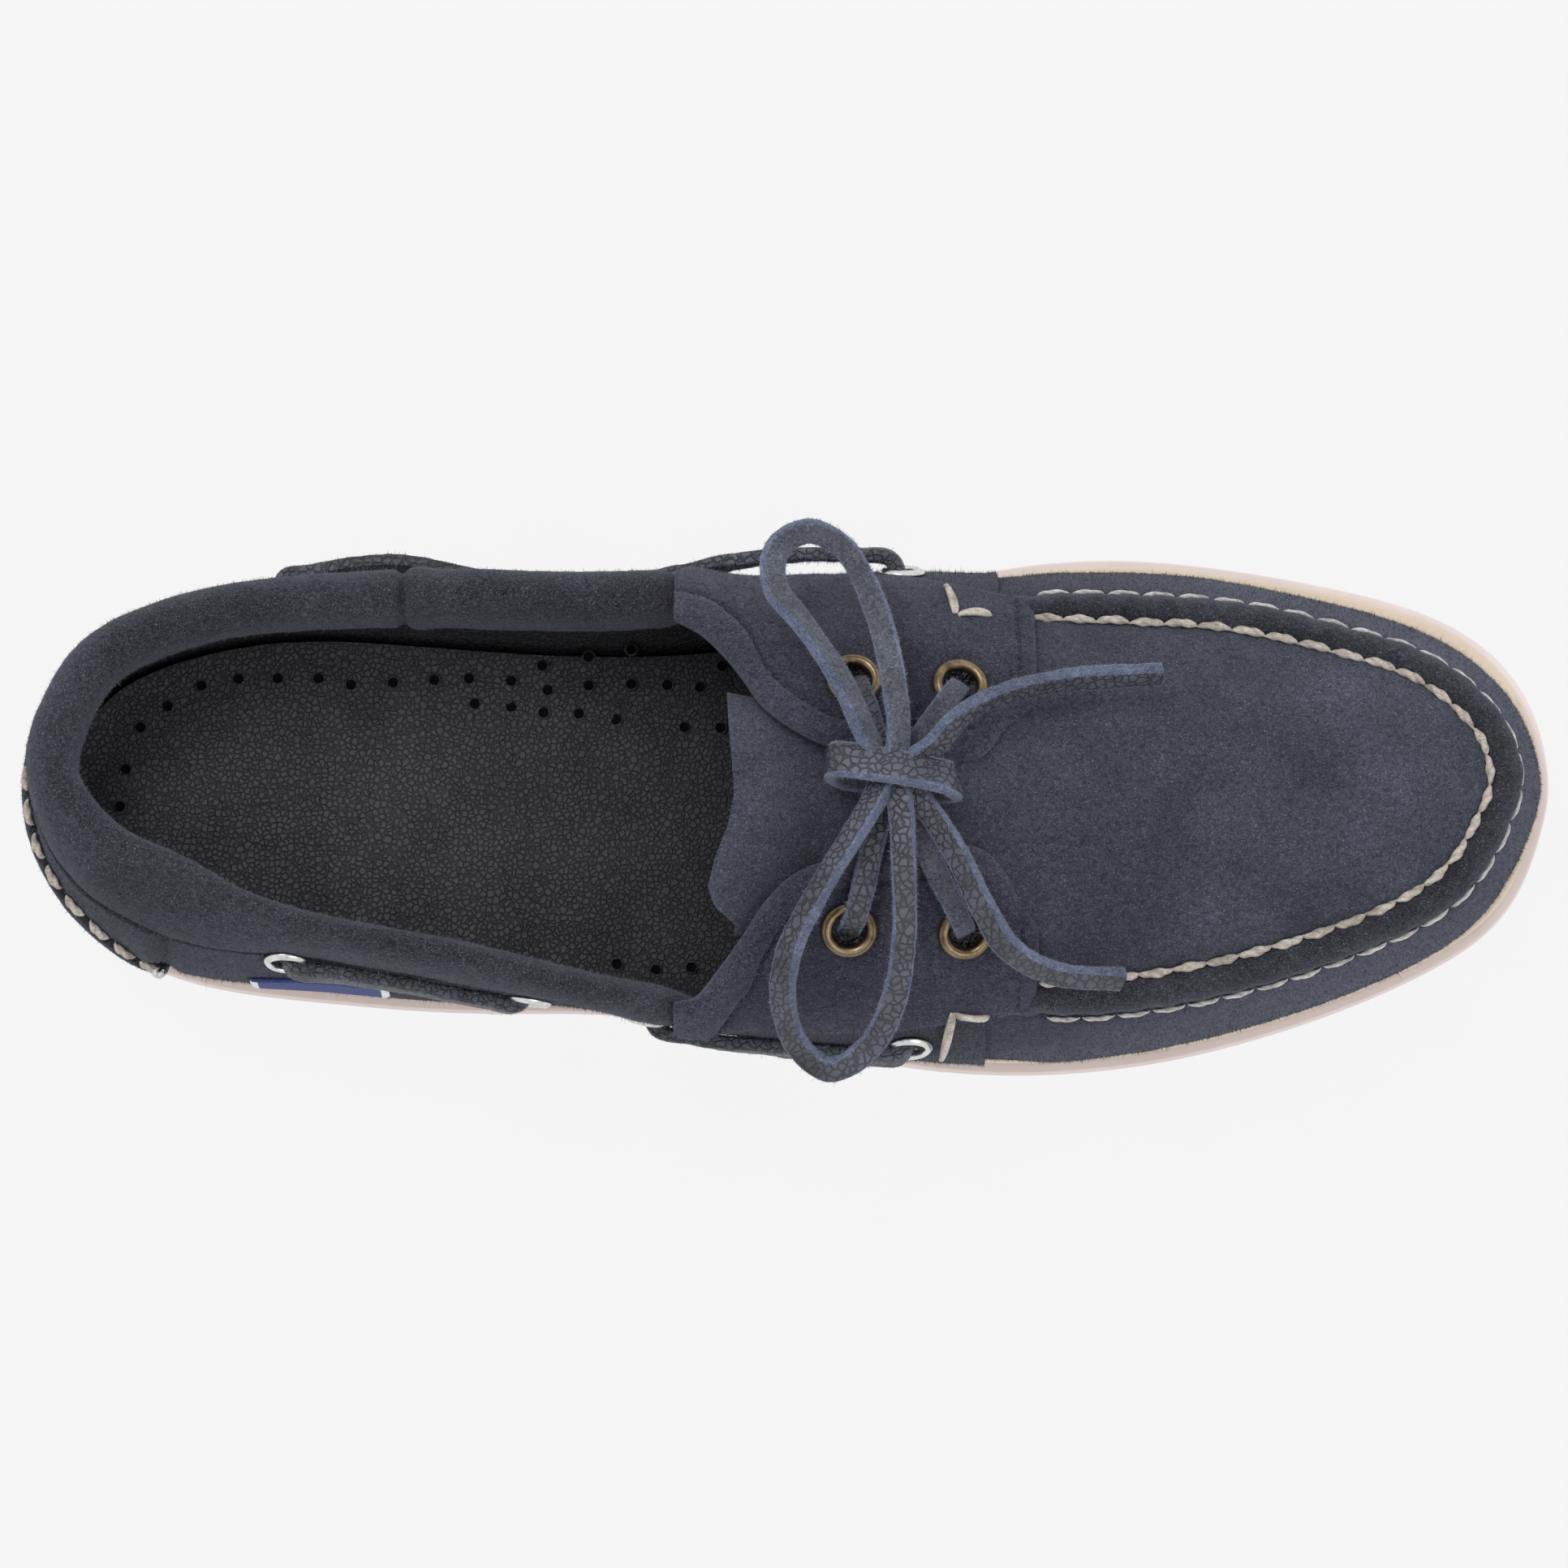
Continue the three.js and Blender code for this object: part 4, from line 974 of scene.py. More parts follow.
def footbed_height(x, y, edge):
    """Height of the footbed: dished, with a soft heel curve, an arch crease and faint wrinkles."""
    base = sole_top(x) + GAP + INSOLE
    dish = 2.6 * np.exp(-edge / 5.0) - 0.5
    heel_line = np.hypot(x + 72, y / 0.95) - 20
    heel_curve = -0.35 * bell(heel_line, 1.6) * ease(-74, -68, x) * ease(-12, 2, y)
    crease_line = y + 12 + (x + 40) * 0.95
    crease = -0.4 * bell(crease_line, 1.5) * ease(-46, -40, x) * (1 - ease(-30, -22, x))
    points = np.stack([x, y, np.zeros_like(x)], -1)
    wrinkles = 0.28 * lumps(points, 9, 3) + 0.12 * lumps(points, 3, 5)
    return base + dish + heel_curve + crease + wrinkles


def footbed():
    rows, columns = 44, 340
    u = np.arange(columns) / columns
    inset = WALL + 0.5
    edge = foot_point(u) - outward(u) * inset
    spine = spine_point(u)
    spine[:, 0] = place_at(0.5) + (foot_x(u) - place_at(0.5)) * 0.86
    spine[:, 1] = spine_y(spine[:, 0]) * 0.4
    share = np.linspace(0, 1, rows)[:, None]
    grid = mix(edge[None], spine[None], share[..., None])
    from_edge = np.linalg.norm(edge - spine, axis=1)[None] * share
    grid[..., 2] = footbed_height(grid[..., 0], grid[..., 1], from_edge)
    flat = grid.reshape(-1, 3)
    faces = facing_out(flat, grid_faces(rows, columns, True), (0, 0, 1))
    # painted shade: darker near the edge, where the footbed meets the wall
    tone = 0.5 - 0.16 * np.exp(-from_edge / 4) + 0.08 * lumps(grid, 25, 11)
    made = mesh_object("footbed", flat, faces, FOOTBED, tone=tone)
    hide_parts("insole")
    return flat


def pinholes(surface):
    """Punched holes with a pressed rim, each well a flat disc painted dark as the shade inside the hole."""
    points, faces = [], []
    turn = np.linspace(0, 2 * math.pi, 16, endpoint=False)
    rings = [(1.4, -0.12), (1.15, 0.1), (1.02, 0.1), (0.96, 0.03), (0.0, 0.02)]
    for number, (x, y) in enumerate(PINHOLES):
        away = np.hypot(surface[:, 0] - x, surface[:, 1] - y)
        z = surface[np.argpartition(away, 4)[:4], 2].max() + 0.05
        start = number * len(rings) * 16
        for radius, lift in rings:
            ring = np.stack([x + radius * np.cos(turn), y + radius * np.sin(turn), np.full(16, z + lift)], -1)
            points.append(ring)
        faces.append(grid_faces(len(rings), 16, True, start))
    rims = np.concatenate([f[:32] for f in faces])
    wells = np.concatenate([f[32:] for f in faces])
    flat = np.concatenate(points)
    rims, wells = facing_out(flat, rims, (0, 0, 1)), facing_out(flat, wells, (0, 0, 1))
    made = mesh_object("pinholes", flat, [rims, wells], [FOOTBED, HOLE_SHADE], [0, 1], tone=np.full(len(flat), 0.4))


# Upper

VAMP_BACK = 34.0
QUARTER_FRONT_OUTER = 38.8
QUARTER_FRONT_INNER = 41.2
RIDGE_WIDE = 5.8
RIDGE_HIGH = 2.2
RIDGE_STARTS = place_at(0.641)
RIDGE_FULL = place_at(0.661)
STITCH_PITCH = 6.8


def around_toe(back_outer, back_inner, count):
    """Shares around the toe, from a place on the outer side to one on the inner side."""
    return np.linspace(float(share_at(-1, back_outer)), float(share_at(1, back_inner)), count)


def toe_pairs(back, half):
    """Shares around the toe in pairs at the same place along, from the outer side to the inner."""
    t = np.linspace(0, 1, half, endpoint=False)
    x = mix(foot_x(np.array(TIP)), back, (1 - t) ** 2)
    return np.concatenate([share_at(-1, x), [TIP], share_at(1, x)[::-1]])


def stitch_phase(u):
    """Stitches counted along the raised seam."""
    fine = np.linspace(0.2, 0.8, 1200)
    line = skin(fine, 1.02)
    return np.interp(u, fine, reach_along(line)) / STITCH_PITCH


def vamp():
    u = around_toe(VAMP_BACK, VAMP_BACK, 390)
    level = np.concatenate([np.linspace(-0.03, 0.9, 24), np.linspace(0.92, 1.03, 8)])[:, None]
    x = foot_x(u)
    under = 1.1 * (1 - ease(VAMP_BACK + 2, VAMP_BACK + 22, x))
    pinch = np.cos(2 * math.pi * stitch_phase(u)) * 0.16 * bell(level - 0.95, 0.12)
    points = form(u[None], np.clip(level, 0, 2))
    normal = form_normal(*np.broadcast_arrays(u[None], np.clip(level, 0.02, 2)))
    wobble = 0.22 * lumps(points, 14, 21) + 0.07 * lumps(points, 2.2, 22, 2)
    lift = wobble - under + pinch - 0.5 * bell(level - 0.97, 0.05)
    outer = points + normal * lift[..., None]
    outer[0, :, 2] -= 0.6
    inner = points - normal * WALL
    # painted shade along the foot of the raised seam and painted light higher up the wall; also lighter
    # towards the toe and darker at the waist
    shade = 0.5 + 0.1 * lumps(points, 30, 23) - 0.2 * bell(level - 0.98, 0.06) + 0.06 * level
    shade = shade + mix(-0.13, 0.27, ease(45, 125, points[..., 0]))
    made = panel("vamp", outer, inner, [SUEDE_VAMP, LINING], shade, 0.4)
    return outer, normal


def moc_seam():
    """Raised rolled seam between the two rows of thick stitches, gathered at each stitch."""
    u = around_toe(place_at(0.632), place_at(0.632), 580)
    turn = np.linspace(-0.12, 1.12, 18)[:, None]
    reach = np.linalg.norm(rim_point(u) - spine_point(u), axis=1)
    phase = stitch_phase(u)
    narrow = 0.22 * (0.5 + 0.5 * np.cos(2 * math.pi * phase))
    share = mix(-0.4 + narrow, RIDGE_WIDE + 0.1 - narrow, turn)
    level = np.where(share < 0, 1 + share / 14.0, 1 + share / reach)
    rise = np.sqrt(np.clip(1 - (2 * turn - 1) ** 2, 0, 1)) - np.where((turn < 0) | (turn > 1), 0.35, 0)
    high = RIDGE_HIGH * ease(RIDGE_STARTS - 4, RIDGE_FULL, foot_x(u))
    uu, ll = np.broadcast_arrays(u[None], level)
    points, normal = form(uu, ll), form_normal(uu, ll)
    gathers = 0.2 * np.sin(2 * math.pi * phase + 1.1 * lumps(points, 20, 31)) * np.clip(rise, 0, 1)
    creases = 0.14 * lumps(points, 2.6, 33, 2) + 0.12 * lumps(points, 7, 34)
    outer = points + normal * (rise * high + gathers + creases * np.clip(rise + 0.3, 0, 1))[..., None]
    inner = points - normal * 0.8
    # painted light on the crown of the ridge
    shade = 0.42 + 0.12 * lumps(points, 8, 35) + 0.14 * np.clip(rise, 0, 1)
    made = panel("moc_seam", outer, inner, [SUEDE_SEAM], shade, 0.3)
    return outer, normal


TONGUE_BACK = place_at(0.456)
TONGUE_HALF = [(0.456, 0.223), (0.48, 0.209), (0.505, 0.18), (0.54, 0.16), (0.58, 0.141), (0.62, 0.126)]
TONGUE_LIFT = [(0.456, 0.107), (0.48, 0.057), (0.505, 0.014), (0.54, 0.003), (0.58, 0.0)]
TONGUE_UNDER = 3.4
# Wavy rear edge of the tongue: across, how far forward
TONGUE_EDGE = [(-31, 5.0), (-27.5, 0.6), (-24, -1.0), (-19, -0.4), (-12, 1.4), (0, 2.0), (9, 2.4), (16, 2.8)]
TONGUE_WIDER = {"outer": 4.0, "inner": -1.0}


def column(rows, along):
    return np.interp(along, [r[0] for r in rows], [r[1] for r in rows])


def apron():
    """Top panel, running back under the eyestays into the tongue."""
    rows = 44
    u = toe_pairs(TONGUE_BACK / SPINE_SHARE, 150)
    x_foot = foot_x(u)
    x_spine = SPINE_SHARE * x_foot
    reach = np.linalg.norm((rim_point(u) - spine_point(u))[:, :2], axis=1)
    along = (x_spine - HEEL_BACK) / LENGTH
    half = mix(column(TONGUE_HALF, along) * BALL_WIDTH, reach - RIDGE_WIDE + 0.8, ease(24, 36, x_spine))
    rear = 1 - ease(TONGUE_BACK, TONGUE_BACK + 22, x_spine)
    half = half + np.where(u < TIP, TONGUE_WIDER["outer"], TONGUE_WIDER["inner"]) * rear
    start = 1 + np.clip(1 - half / reach, 0.0, 0.9)
    share = np.linspace(0, 1, rows)[:, None]
    level = mix(start[None], 2.0, share)
    uu = np.broadcast_to(u, level.shape)
    points = form(uu, level)
    normal = form_normal(uu, np.minimum(level, 1.97))
    normal[-1] = unit(normal[-1] + normal[-1][::-1])
    x = points[..., 0]
    sunk = -TONGUE_UNDER * (1 - ease(6, 34, x))
    across = (np.abs(points[..., 1] - spine_y(x)) / np.maximum(half[None], 1)).clip(0, 1)
    lift = column(TONGUE_LIFT, (x - HEEL_BACK) / LENGTH) * HEIGHT * (1 - across**2)
    slack = 0.3 * lumps(points, 40, 41) + 0.05 * lumps(points, 2.0, 42, 2)
    edge = -0.5 * bell(share, 0.04) * ease(30, 44, x)
    middle_fold = 0.5 * bell(x + 2, 6) * np.cos(across * 3)
    outer = points + normal * (sunk + slack + edge)[..., None]
    outer[..., 2] += lift + middle_fold * (1 - ease(2, 12, x))
    wave = np.interp(points[..., 1], *zip(*TONGUE_EDGE))
    outer[..., 0] += wave * (1 - ease(TONGUE_BACK, TONGUE_BACK + 16, x))
    inner = outer - normal * 2.0
    # painted shade along the edge under the raised seam and eyestays and on the sunk tongue; painted light
    # where the tongue rises at the back
    shade = 0.5 + 0.14 * lumps(points, 34, 43) + 0.1 * lumps(points, 9, 44) - 0.16 * bell(share, 0.06)
    shade = shade - 0.12 * (1 - ease(14, 40, x)) * ease(-12, 12, x) + 0.12 * (1 - ease(-8, 8, x))
    made = panel("apron_tongue", outer, inner, [SUEDE_APRON, LINING], shade, 0.45, last_rim=False)
    weld(made.data, 0.02)
    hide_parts("tongue")
    return outer, normal


# Share around the outline of the seam behind the label
HEEL_SEAM = 0.082


def quarters():
    """Back and sides of the upper, from one front step round the heel to the other."""
    front_outer = float(share_at(-1, QUARTER_FRONT_OUTER))
    front_inner = float(share_at(1, QUARTER_FRONT_INNER)) - 1
    u = np.linspace(front_outer, front_inner, 560)
    rim, foot = rim_point(u), foot_point(u)
    x = rim[:, 0]
    back_top = (quarter_top(x) + 0.8 - foot[:, 2]) / (rim[:, 2] - foot[:, 2])
    front_top = 0.98 + 0.22 * ease(COLLAR_FRONT + 4, COLLAR_FRONT + 22, x)
    top = mix(back_top, front_top, ease(COLLAR_FRONT - 1.2, COLLAR_FRONT + 0.6, x))
    share = np.linspace(0, 1, 28)[:, None]
    level = mix(0.0, top[None], share)
    uu = np.broadcast_to(u, level.shape)
    points, normal = form(uu, level), form_normal(uu, np.maximum(level, 0.02))
    wobble = 0.3 * lumps(points, 22, 51) + 0.07 * lumps(points, 2.2, 52, 2)
    edge_out = np.where(u > 0, QUARTER_FRONT_OUTER, QUARTER_FRONT_INNER) - foot[:, 0]
    seam_step = 0.35 * bell(edge_out, 1.2)
    seam = -1.0 * bell(u - HEEL_SEAM, 0.003) + 0.5 * bell(u - HEEL_SEAM + 0.007, 0.004)
    outer = points + normal * (wobble * 0.8 + seam_step + seam)[..., None]
    outer[0, :, 2] -= 0.6
    inner = points - normal * WALL
    # painted shade in the heel seam's groove and painted light on the lip beside it
    shade = 0.48 + 0.1 * lumps(points, 30, 53) + 0.3 * seam
    made = panel("quarters", outer, inner, [SUEDE_DARK, LINING], shade, 0.42)
    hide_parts("upper")
    return made, outer, normal


# Section of the collar's roll: in from the wall's outside, up, in shares of its width and height
ROLL = [
    (0.05, 0.0), (-0.05, 0.36), (-0.02, 0.78), (0.26, 1.07), (0.62, 1.09), (0.94, 0.78), (0.98, 0.27),
    (0.78, -0.18), (0.38, -0.18), (0.2, -0.1),
]
COLLAR_SEAM_X = -73.0
# How far the roll's thin ends run on under the eyestays
COLLAR_TUCK = 9.0


def collar():
    count, section = 480, 30
    ends = float(share_at(-1, COLLAR_FRONT + COLLAR_TUCK)), float(share_at(1, COLLAR_FRONT + COLLAR_TUCK)) - 1
    u = np.linspace(*ends, count)
    turn = np.linspace(0, 1, section, endpoint=False)
    tucked = ease(COLLAR_FRONT - 3, COLLAR_FRONT + COLLAR_TUCK, foot_x(u))[None]
    thinner = 1 - 0.7 * tucked
    inset = (closed_spline([r[0] for r in ROLL])(turn)[:, None] - 0.5) * thinner + 0.5 + 0.1 * tucked
    lift = ((closed_spline([r[1] for r in ROLL])(turn)[:, None] - 0.45) * thinner + 0.45) * COLLAR_HIGH
    sides = np.where(u > 0, COLLAR_WIDE_OUTER, COLLAR_WIDE_INNER)
    wide = mix(COLLAR_WIDE_BACK, sides, ease(*COLLAR_NARROWS, foot_x(u)))[None]
    rim, foot = rim_point(u), foot_point(u)
    base = quarter_top(rim[:, 0]) + GAP
    level = np.minimum((base + lift - foot[:, 2]) / (rim[:, 2] - foot[:, 2]), 1)
    uu = np.broadcast_to(u, level.shape)
    out = outward(u)
    grid = wall_point(uu, level) - out[None] * (inset * wide)[..., None]
    grid[..., 2] = base + lift
    centre = grid.mean(axis=0, keepdims=True)
    normal = unit(grid - centre)
    puckers = 0.35 * lumps(grid * (0.5, 0.5, 1), 9, 61) + 0.1 * lumps(grid, 2.2, 62, 2)
    groove = -1.3 * bell(grid[..., 0] - COLLAR_SEAM_X, 0.9) * (u < 0)[None]
    swell = 0.35 * bell(grid[..., 0] - COLLAR_SEAM_X - 3, 2.2) * (u < 0)[None]
    grid = grid + normal * (puckers + groove + swell)[..., None]
    faces = grid_faces(count, section, True)
    flat = np.swapaxes(grid, 0, 1).reshape(-1, 3)
    flat_normal = np.swapaxes(normal, 0, 1).reshape(-1, 3)
    faces = facing_out(flat, faces, flat_normal[faces[:, 0]])
    # painted shade in the seam's groove and painted light towards the top of the roll
    shade = 0.5 + 0.12 * lumps(grid, 24, 63) + 0.25 * groove + 0.084 * lift / COLLAR_HIGH
    tone = np.swapaxes(shade, 0, 1).ravel()
    made = mesh_object("collar_roll", flat, [faces, *end_caps(flat, section)], [SUEDE_DARK], tone=tone)
    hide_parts("collar")
    return grid, normal


STAY_EDGE_INNER = [
    (0.423, 0.282), (0.44, 0.252), (0.456, 0.204), (0.466, 0.165), (0.48, 0.107), (0.503, 0.058),
    (0.527, 0.029), (0.574, 0.019), (0.617, 0.019), (0.634, 0.078),
]
STAY_EDGE_OUTER = [
    (0.423, -0.418), (0.437, -0.408), (0.45, -0.369), (0.466, -0.311), (0.48, -0.252), (0.497, -0.204),
    (0.52, -0.175), (0.614, -0.146), (0.631, -0.184), (0.641, -0.233),
]
STAY_FRONT = place_at(0.654)
STAY_LOW = 0.671 * HEIGHT
STAY_CORNER = 5.0
FOLD_WIDE = 5.5
FOLD_HIGH = 1.1
# Seam behind the front edge
SEAM_IN = 3.4


def stay_edge(side):
    """Inner edge of an eyestay in plan, as places along and across, smoothed."""
    rows = STAY_EDGE_INNER if side > 0 else STAY_EDGE_OUTER
    points = [(place_at(a), c * BALL_WIDTH, 0) for a, c in rows]
    points.append((STAY_FRONT, points[-1][1] + side * STAY_CORNER, 0))
    return catmull(points, 200)


def eyestay(side):
    name, node = ("stay_inner", "eyestay_inner") if side > 0 else ("stay_outer", "eyestay_outer")
    edge = stay_edge(side)
    columns, rows = 150, 60
    x = np.linspace(COLLAR_FRONT, STAY_FRONT, columns)
    y_edge = np.interp(x, edge[:, 0], edge[:, 1])
    high = level_where(side, x, 0.7, 2.0, lambda p: p[..., 1] * side < y_edge * side)
    low = level_where(side, x, 0.2, 1.3, lambda p: p[..., 2] > STAY_LOW)
    share = np.linspace(0, 1, rows)[:, None]
    level = mix(low[None], high[None], share)
    xx = np.broadcast_to(x, level.shape)
    u = share_at(side, xx, level)
    points, normal = form(u, level), form_normal(u, level)
    slant = np.gradient(y_edge, x)
    to_edge = np.abs(points[..., 1] - y_edge[None]) / np.sqrt(1 + slant**2)[None]
    to_front = STAY_FRONT - points[..., 0]
    fold = FOLD_HIGH * np.sqrt(np.clip(1 - ((to_edge - FOLD_WIDE / 2) / (FOLD_WIDE / 2)) ** 2, 0, 1))
    fold = fold * (1 - ease(34, 44, points[..., 0]))
    groove = -0.45 * bell(to_edge - FOLD_WIDE - 0.3, 0.6) * (1 - ease(34, 44, points[..., 0]))
    front_line = -0.3 * bell(to_front - SEAM_IN, 0.5)
    rounded = -0.7 * bell(np.minimum(to_edge, to_front), 0.7)
    rounded = rounded - 0.7 * bell(share, 0.012)
    rounded = rounded - 1.1 * bell(points[..., 0] - COLLAR_FRONT, 1.6)
    dimples = 0.0
    for seat in top_seats.values():
        away = np.linalg.norm(points - form(np.array(seat[0]), np.array(seat[1])), axis=-1)
        dimples = dimples - 0.5 * np.exp(-((away / 6.5) ** 4))
    wobble = 0.28 * lumps(points, 12, 71 + side) + 0.07 * lumps(points, 2.2, 73, 2)
    lift = GAP + OVERLAY + fold + groove + front_line + rounded + dimples + wobble
    outer = points + normal * lift[..., None]
    inner = points + normal * (GAP * 0.5)
    # painted shade in the groove beside the fold and along the front seam line; painted light on the fold
    shade = 0.5 + 0.12 * lumps(points, 20, 74) + 0.3 * groove + 0.2 * front_line + 0.06 * fold
    made = panel(name, outer, inner, [SUEDE_VAMP], shade, 0.5)
    bore(made, [s for n, s in top_seats.items() if ("inner" in n) == (side > 0)], 3.9)
    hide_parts(node)
    return outer, normal


COUNTER_EDGE = [(-147.5, 44.6), (-140, 43.8), (-131.5, 41.0), (-123.5, 34.5), (-117.5, 26.0)]


def counter():
    """Heel patch with its raised sewn edge."""
    ends = float(share_at(-1, -119.0)), float(share_at(1, -119.0)) - 1
    u = np.linspace(*ends, 190)
    x = foot_x(u)
    high = np.interp(x, [p[0] for p in COUNTER_EDGE], [p[1] for p in COUNTER_EDGE])
    rim, foot = rim_point(u), foot_point(u)
    top = ((high - foot[:, 2]) / (rim[:, 2] - foot[:, 2])).clip(0.03, 1)
    share = np.linspace(0, 1, 32)[:, None]
    level = mix(0.0, top[None], share)
    uu = np.broadcast_to(u, level.shape)
    points, normal = form(uu, level), form_normal(uu, np.maximum(level, 0.02))
    below = (high[None] - points[..., 2])
    roll = 1.0 * np.sqrt(np.clip(1 - ((below - 2.0) / 2.0) ** 2, 0, 1))
    wobble = 0.2 * lumps(points, 10, 81) + 0.06 * lumps(points, 2.2, 82, 2)
    outer = points + normal * (GAP + 0.7 + roll + wobble)[..., None]
    inner = points + normal * 0.1
    # painted light on the raised roll of the edge
    shade = 0.42 + 0.1 * lumps(points, 12, 83) + 0.05 * roll
    made = panel("counter_patch", outer, inner, [SUEDE_SEAM], shade, 0.4)
    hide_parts("heel_counter")
    return outer, normal, u, high


LABEL_BACK, LABEL_FRONT, LABEL_LOW, LABEL_HIGH = place_at(0.148), place_at(0.238), 27.6, 34.4
LABEL_END = 1.6


def label():
    """Plain woven tab with white ends."""
    columns, rows = 90, 16
    x = np.linspace(LABEL_BACK, LABEL_FRONT, columns)
    low = level_where(-1, x, 0.0, 1.0, lambda p: p[..., 2] > LABEL_LOW)
    high = level_where(-1, x, 0.0, 1.0, lambda p: p[..., 2] > LABEL_HIGH)
    share = np.linspace(0, 1, rows)[:, None]
    level = mix(low[None], high[None], share)
    xx = np.broadcast_to(x, level.shape)
    u = share_at(-1, xx, level)
    points, normal = form(u, level), form_normal(u, level)
    ends = np.minimum(xx - LABEL_BACK, LABEL_FRONT - xx)
    lift = GAP + 0.75 + 0.024 * np.sin(xx * 9) - 0.4 * bell(ends, 0.5)
    outer = points + normal * lift[..., None]
    flat, front, back, rims = thick_sheet(outer, points + normal * 0.15)
    white = (ends.ravel()[front].mean(axis=1) < LABEL_END)
    made = mesh_object(
        "side_tab", flat, [front[~white], front[white], back, rims], [LABEL_BLUE, LABEL_WHITE], [0, 1, 0, 0]
    )
    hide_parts("label")


# Eyelets

BRASS_PROFILE = [(3.2, -3.4), (3.2, 0.1), (3.3, 0.5), (3.6, 0.95), (4.05, 1.2), (4.5, 1.15), (4.95, 0.85),
                 (5.3, 0.4), (5.4, 0.05), (5.3, -0.1), (3.9, -0.1), (3.7, -3.4)]
SILVER_PROFILE = [(2.8, -2.6), (2.8, 0.1), (2.9, 0.45), (3.15, 0.85), (3.5, 1.0), (3.9, 0.85), (4.3, 0.45),
                  (4.5, 0.1), (4.4, -0.1), (3.3, -0.1), (3.2, -2.6)]


def eyelet_set(name, seats, profile, lies, stuff):
    points, faces, segments = [], [], 40
    rows = len(profile)
    turn = np.linspace(0, 2 * math.pi, segments, endpoint=False)[None, :, None]
    for number, seat in enumerate(seats.values()):
        point, normal, first, second = seat_frame(seat)
        r = np.array([p[0] for p in profile])[:, None, None]
        h = np.array([p[1] for p in profile])[:, None, None]
        grid = point + normal * (h + lies) + (np.cos(turn) * first + np.sin(turn) * second) * r
        start = number * rows * segments
        quads = grid_faces(rows, segments, True, start)
        first_row = start + np.arange(segments)
        closing = strip_faces(first_row + (rows - 1) * segments, first_row, True)
        points.append(grid.reshape(-1, 3))
        faces += [quads, closing]
    flat = np.concatenate(points)
    made = mesh_object(name, flat, closed_out(flat, np.concatenate(faces)), stuff)
    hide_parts(*seats)


# Thick stitches

def threads(name, starts, ends, normals, thick, stuff, arch=0.5, twist=2.0, seed=0, dive=0.8, full=0.45):
    """Plump twisted stitches between pairs of points, dipping into the leather at both ends."""
    count, rings, sides = len(starts), 15, 10
    rng = np.random.default_rng(RANDOM_SEED + seed)
    f = np.linspace(0, 1, rings)[None, :, None]
    axis = unit(ends - starts)[:, None]
    normal = unit(normals)[:, None]
    side = unit(np.cross(axis, normal))
    girth = (np.sin(math.pi * f.clip(0.02, 0.98)) ** full) * thick / 2
    rise = (np.sin(math.pi * f) ** 0.6) * arch - dive * (1 - np.sin(math.pi * f) ** 0.3)
    sway = rng.normal(size=(count, 1, 1)) * 0.12 * np.sin(math.pi * f)
    centre = starts[:, None] * (1 - f) + ends[:, None] * f + normal * rise + side * sway
    turn = np.linspace(0, 2 * math.pi, sides, endpoint=False)[None, None, :, None]
    phase = rng.random((count, 1, 1, 1)) * 6.28
    ply = np.cos(2 * (turn + phase + twist * math.pi * f[..., None]))
    strands = 1 + 0.16 * ply
    size = girth[..., None] * strands
    round_it = side[:, :, None] * np.cos(turn) + normal[:, :, None] * np.sin(turn) * 0.85
    points = centre[:, :, None] + round_it * size
    block = grid_faces(rings, sides, True)
    faces = np.concatenate([block + i * rings * sides for i in range(count)])
    flat = points.reshape(-1, 3)
    # tone follows the plies, for painted shade in the grooves between them
    made = mesh_object(name, flat, closed_out(flat, faces), stuff, tone=0.78 + 0.22 * ply)


def moc_stitches():
    """The two rows of thick stitches beside the raised seam."""
    u = around_toe(place_at(0.66), place_at(0.655), 1600)
    phase = stitch_phase(u)
    whole = np.arange(math.ceil(phase[0]), math.floor(phase[-1]))
    reach = np.linalg.norm(rim_point(u) - spine_point(u), axis=1)
    rows = {
        "stitches_outer": (1 - 0.85 / 14.0, 0.03, 0.95, 1.15, THREAD_PALE, 0.3, 0.15),
        "stitches_inner": (None, 0.0, 1.0, 1.8, THREAD_CREAM, 0.3, 0.3),
    }
    for number, (name, (level, begin, end, thick, stuff, lift, arch)) in enumerate(rows.items()):
        ends = []
        for part in (begin, end):
            at = np.interp(whole + part, phase, u)
            out = np.interp(at, u, reach)
            lv = np.full_like(at, level) if level else 1 + (RIDGE_WIDE + 0.55) / out
            ends.append((form(at, lv) + form_normal(at, lv) * lift, form_normal(at, lv)))
        (starts, normals), (stops, _) = ends
        threads(name, starts, stops, normals, thick, stuff, arch=arch, seed=number, dive=0.4)


def side_stitch(name, marks, thick, stuff, lies, seed):
    """Stitches given as pairs of plan places on one side of the top."""
    starts, stops, normals = [], [], []
    for side, (xa, ya), (xb, yb) in marks:
        ends = []
        for x, y in ((xa, ya), (xb, yb)):
            level = level_where(side, np.array(x), 0.5, 2.0, lambda p, y=y: p[..., 1] * side < y * side)
            u = share_at(side, np.array(x), level)
            ends.append(skin(u, level, lies))
            normal = form_normal(u, level)
        starts.append(ends[0])
        stops.append(ends[1])
        normals.append(normal)
    threads(name, np.array(starts), np.array(stops), np.array(normals), thick, stuff, seed=seed,
            full=0.2, dive=0.5, twist=0.7)


TACKS = [
    (1, (30.6, 36.8), (32.4, 30.2)), (1, (32.8, 29.9), (39.4, 30.1)),
    (-1, (31.8, -43.0), (30.0, -50.2)), (-1, (32.2, -43.3), (38.8, -43.5)),
]


SEAM_PITCH = 2.1
SEAM_STITCH = 1.5
SEAM_THREAD = 0.5


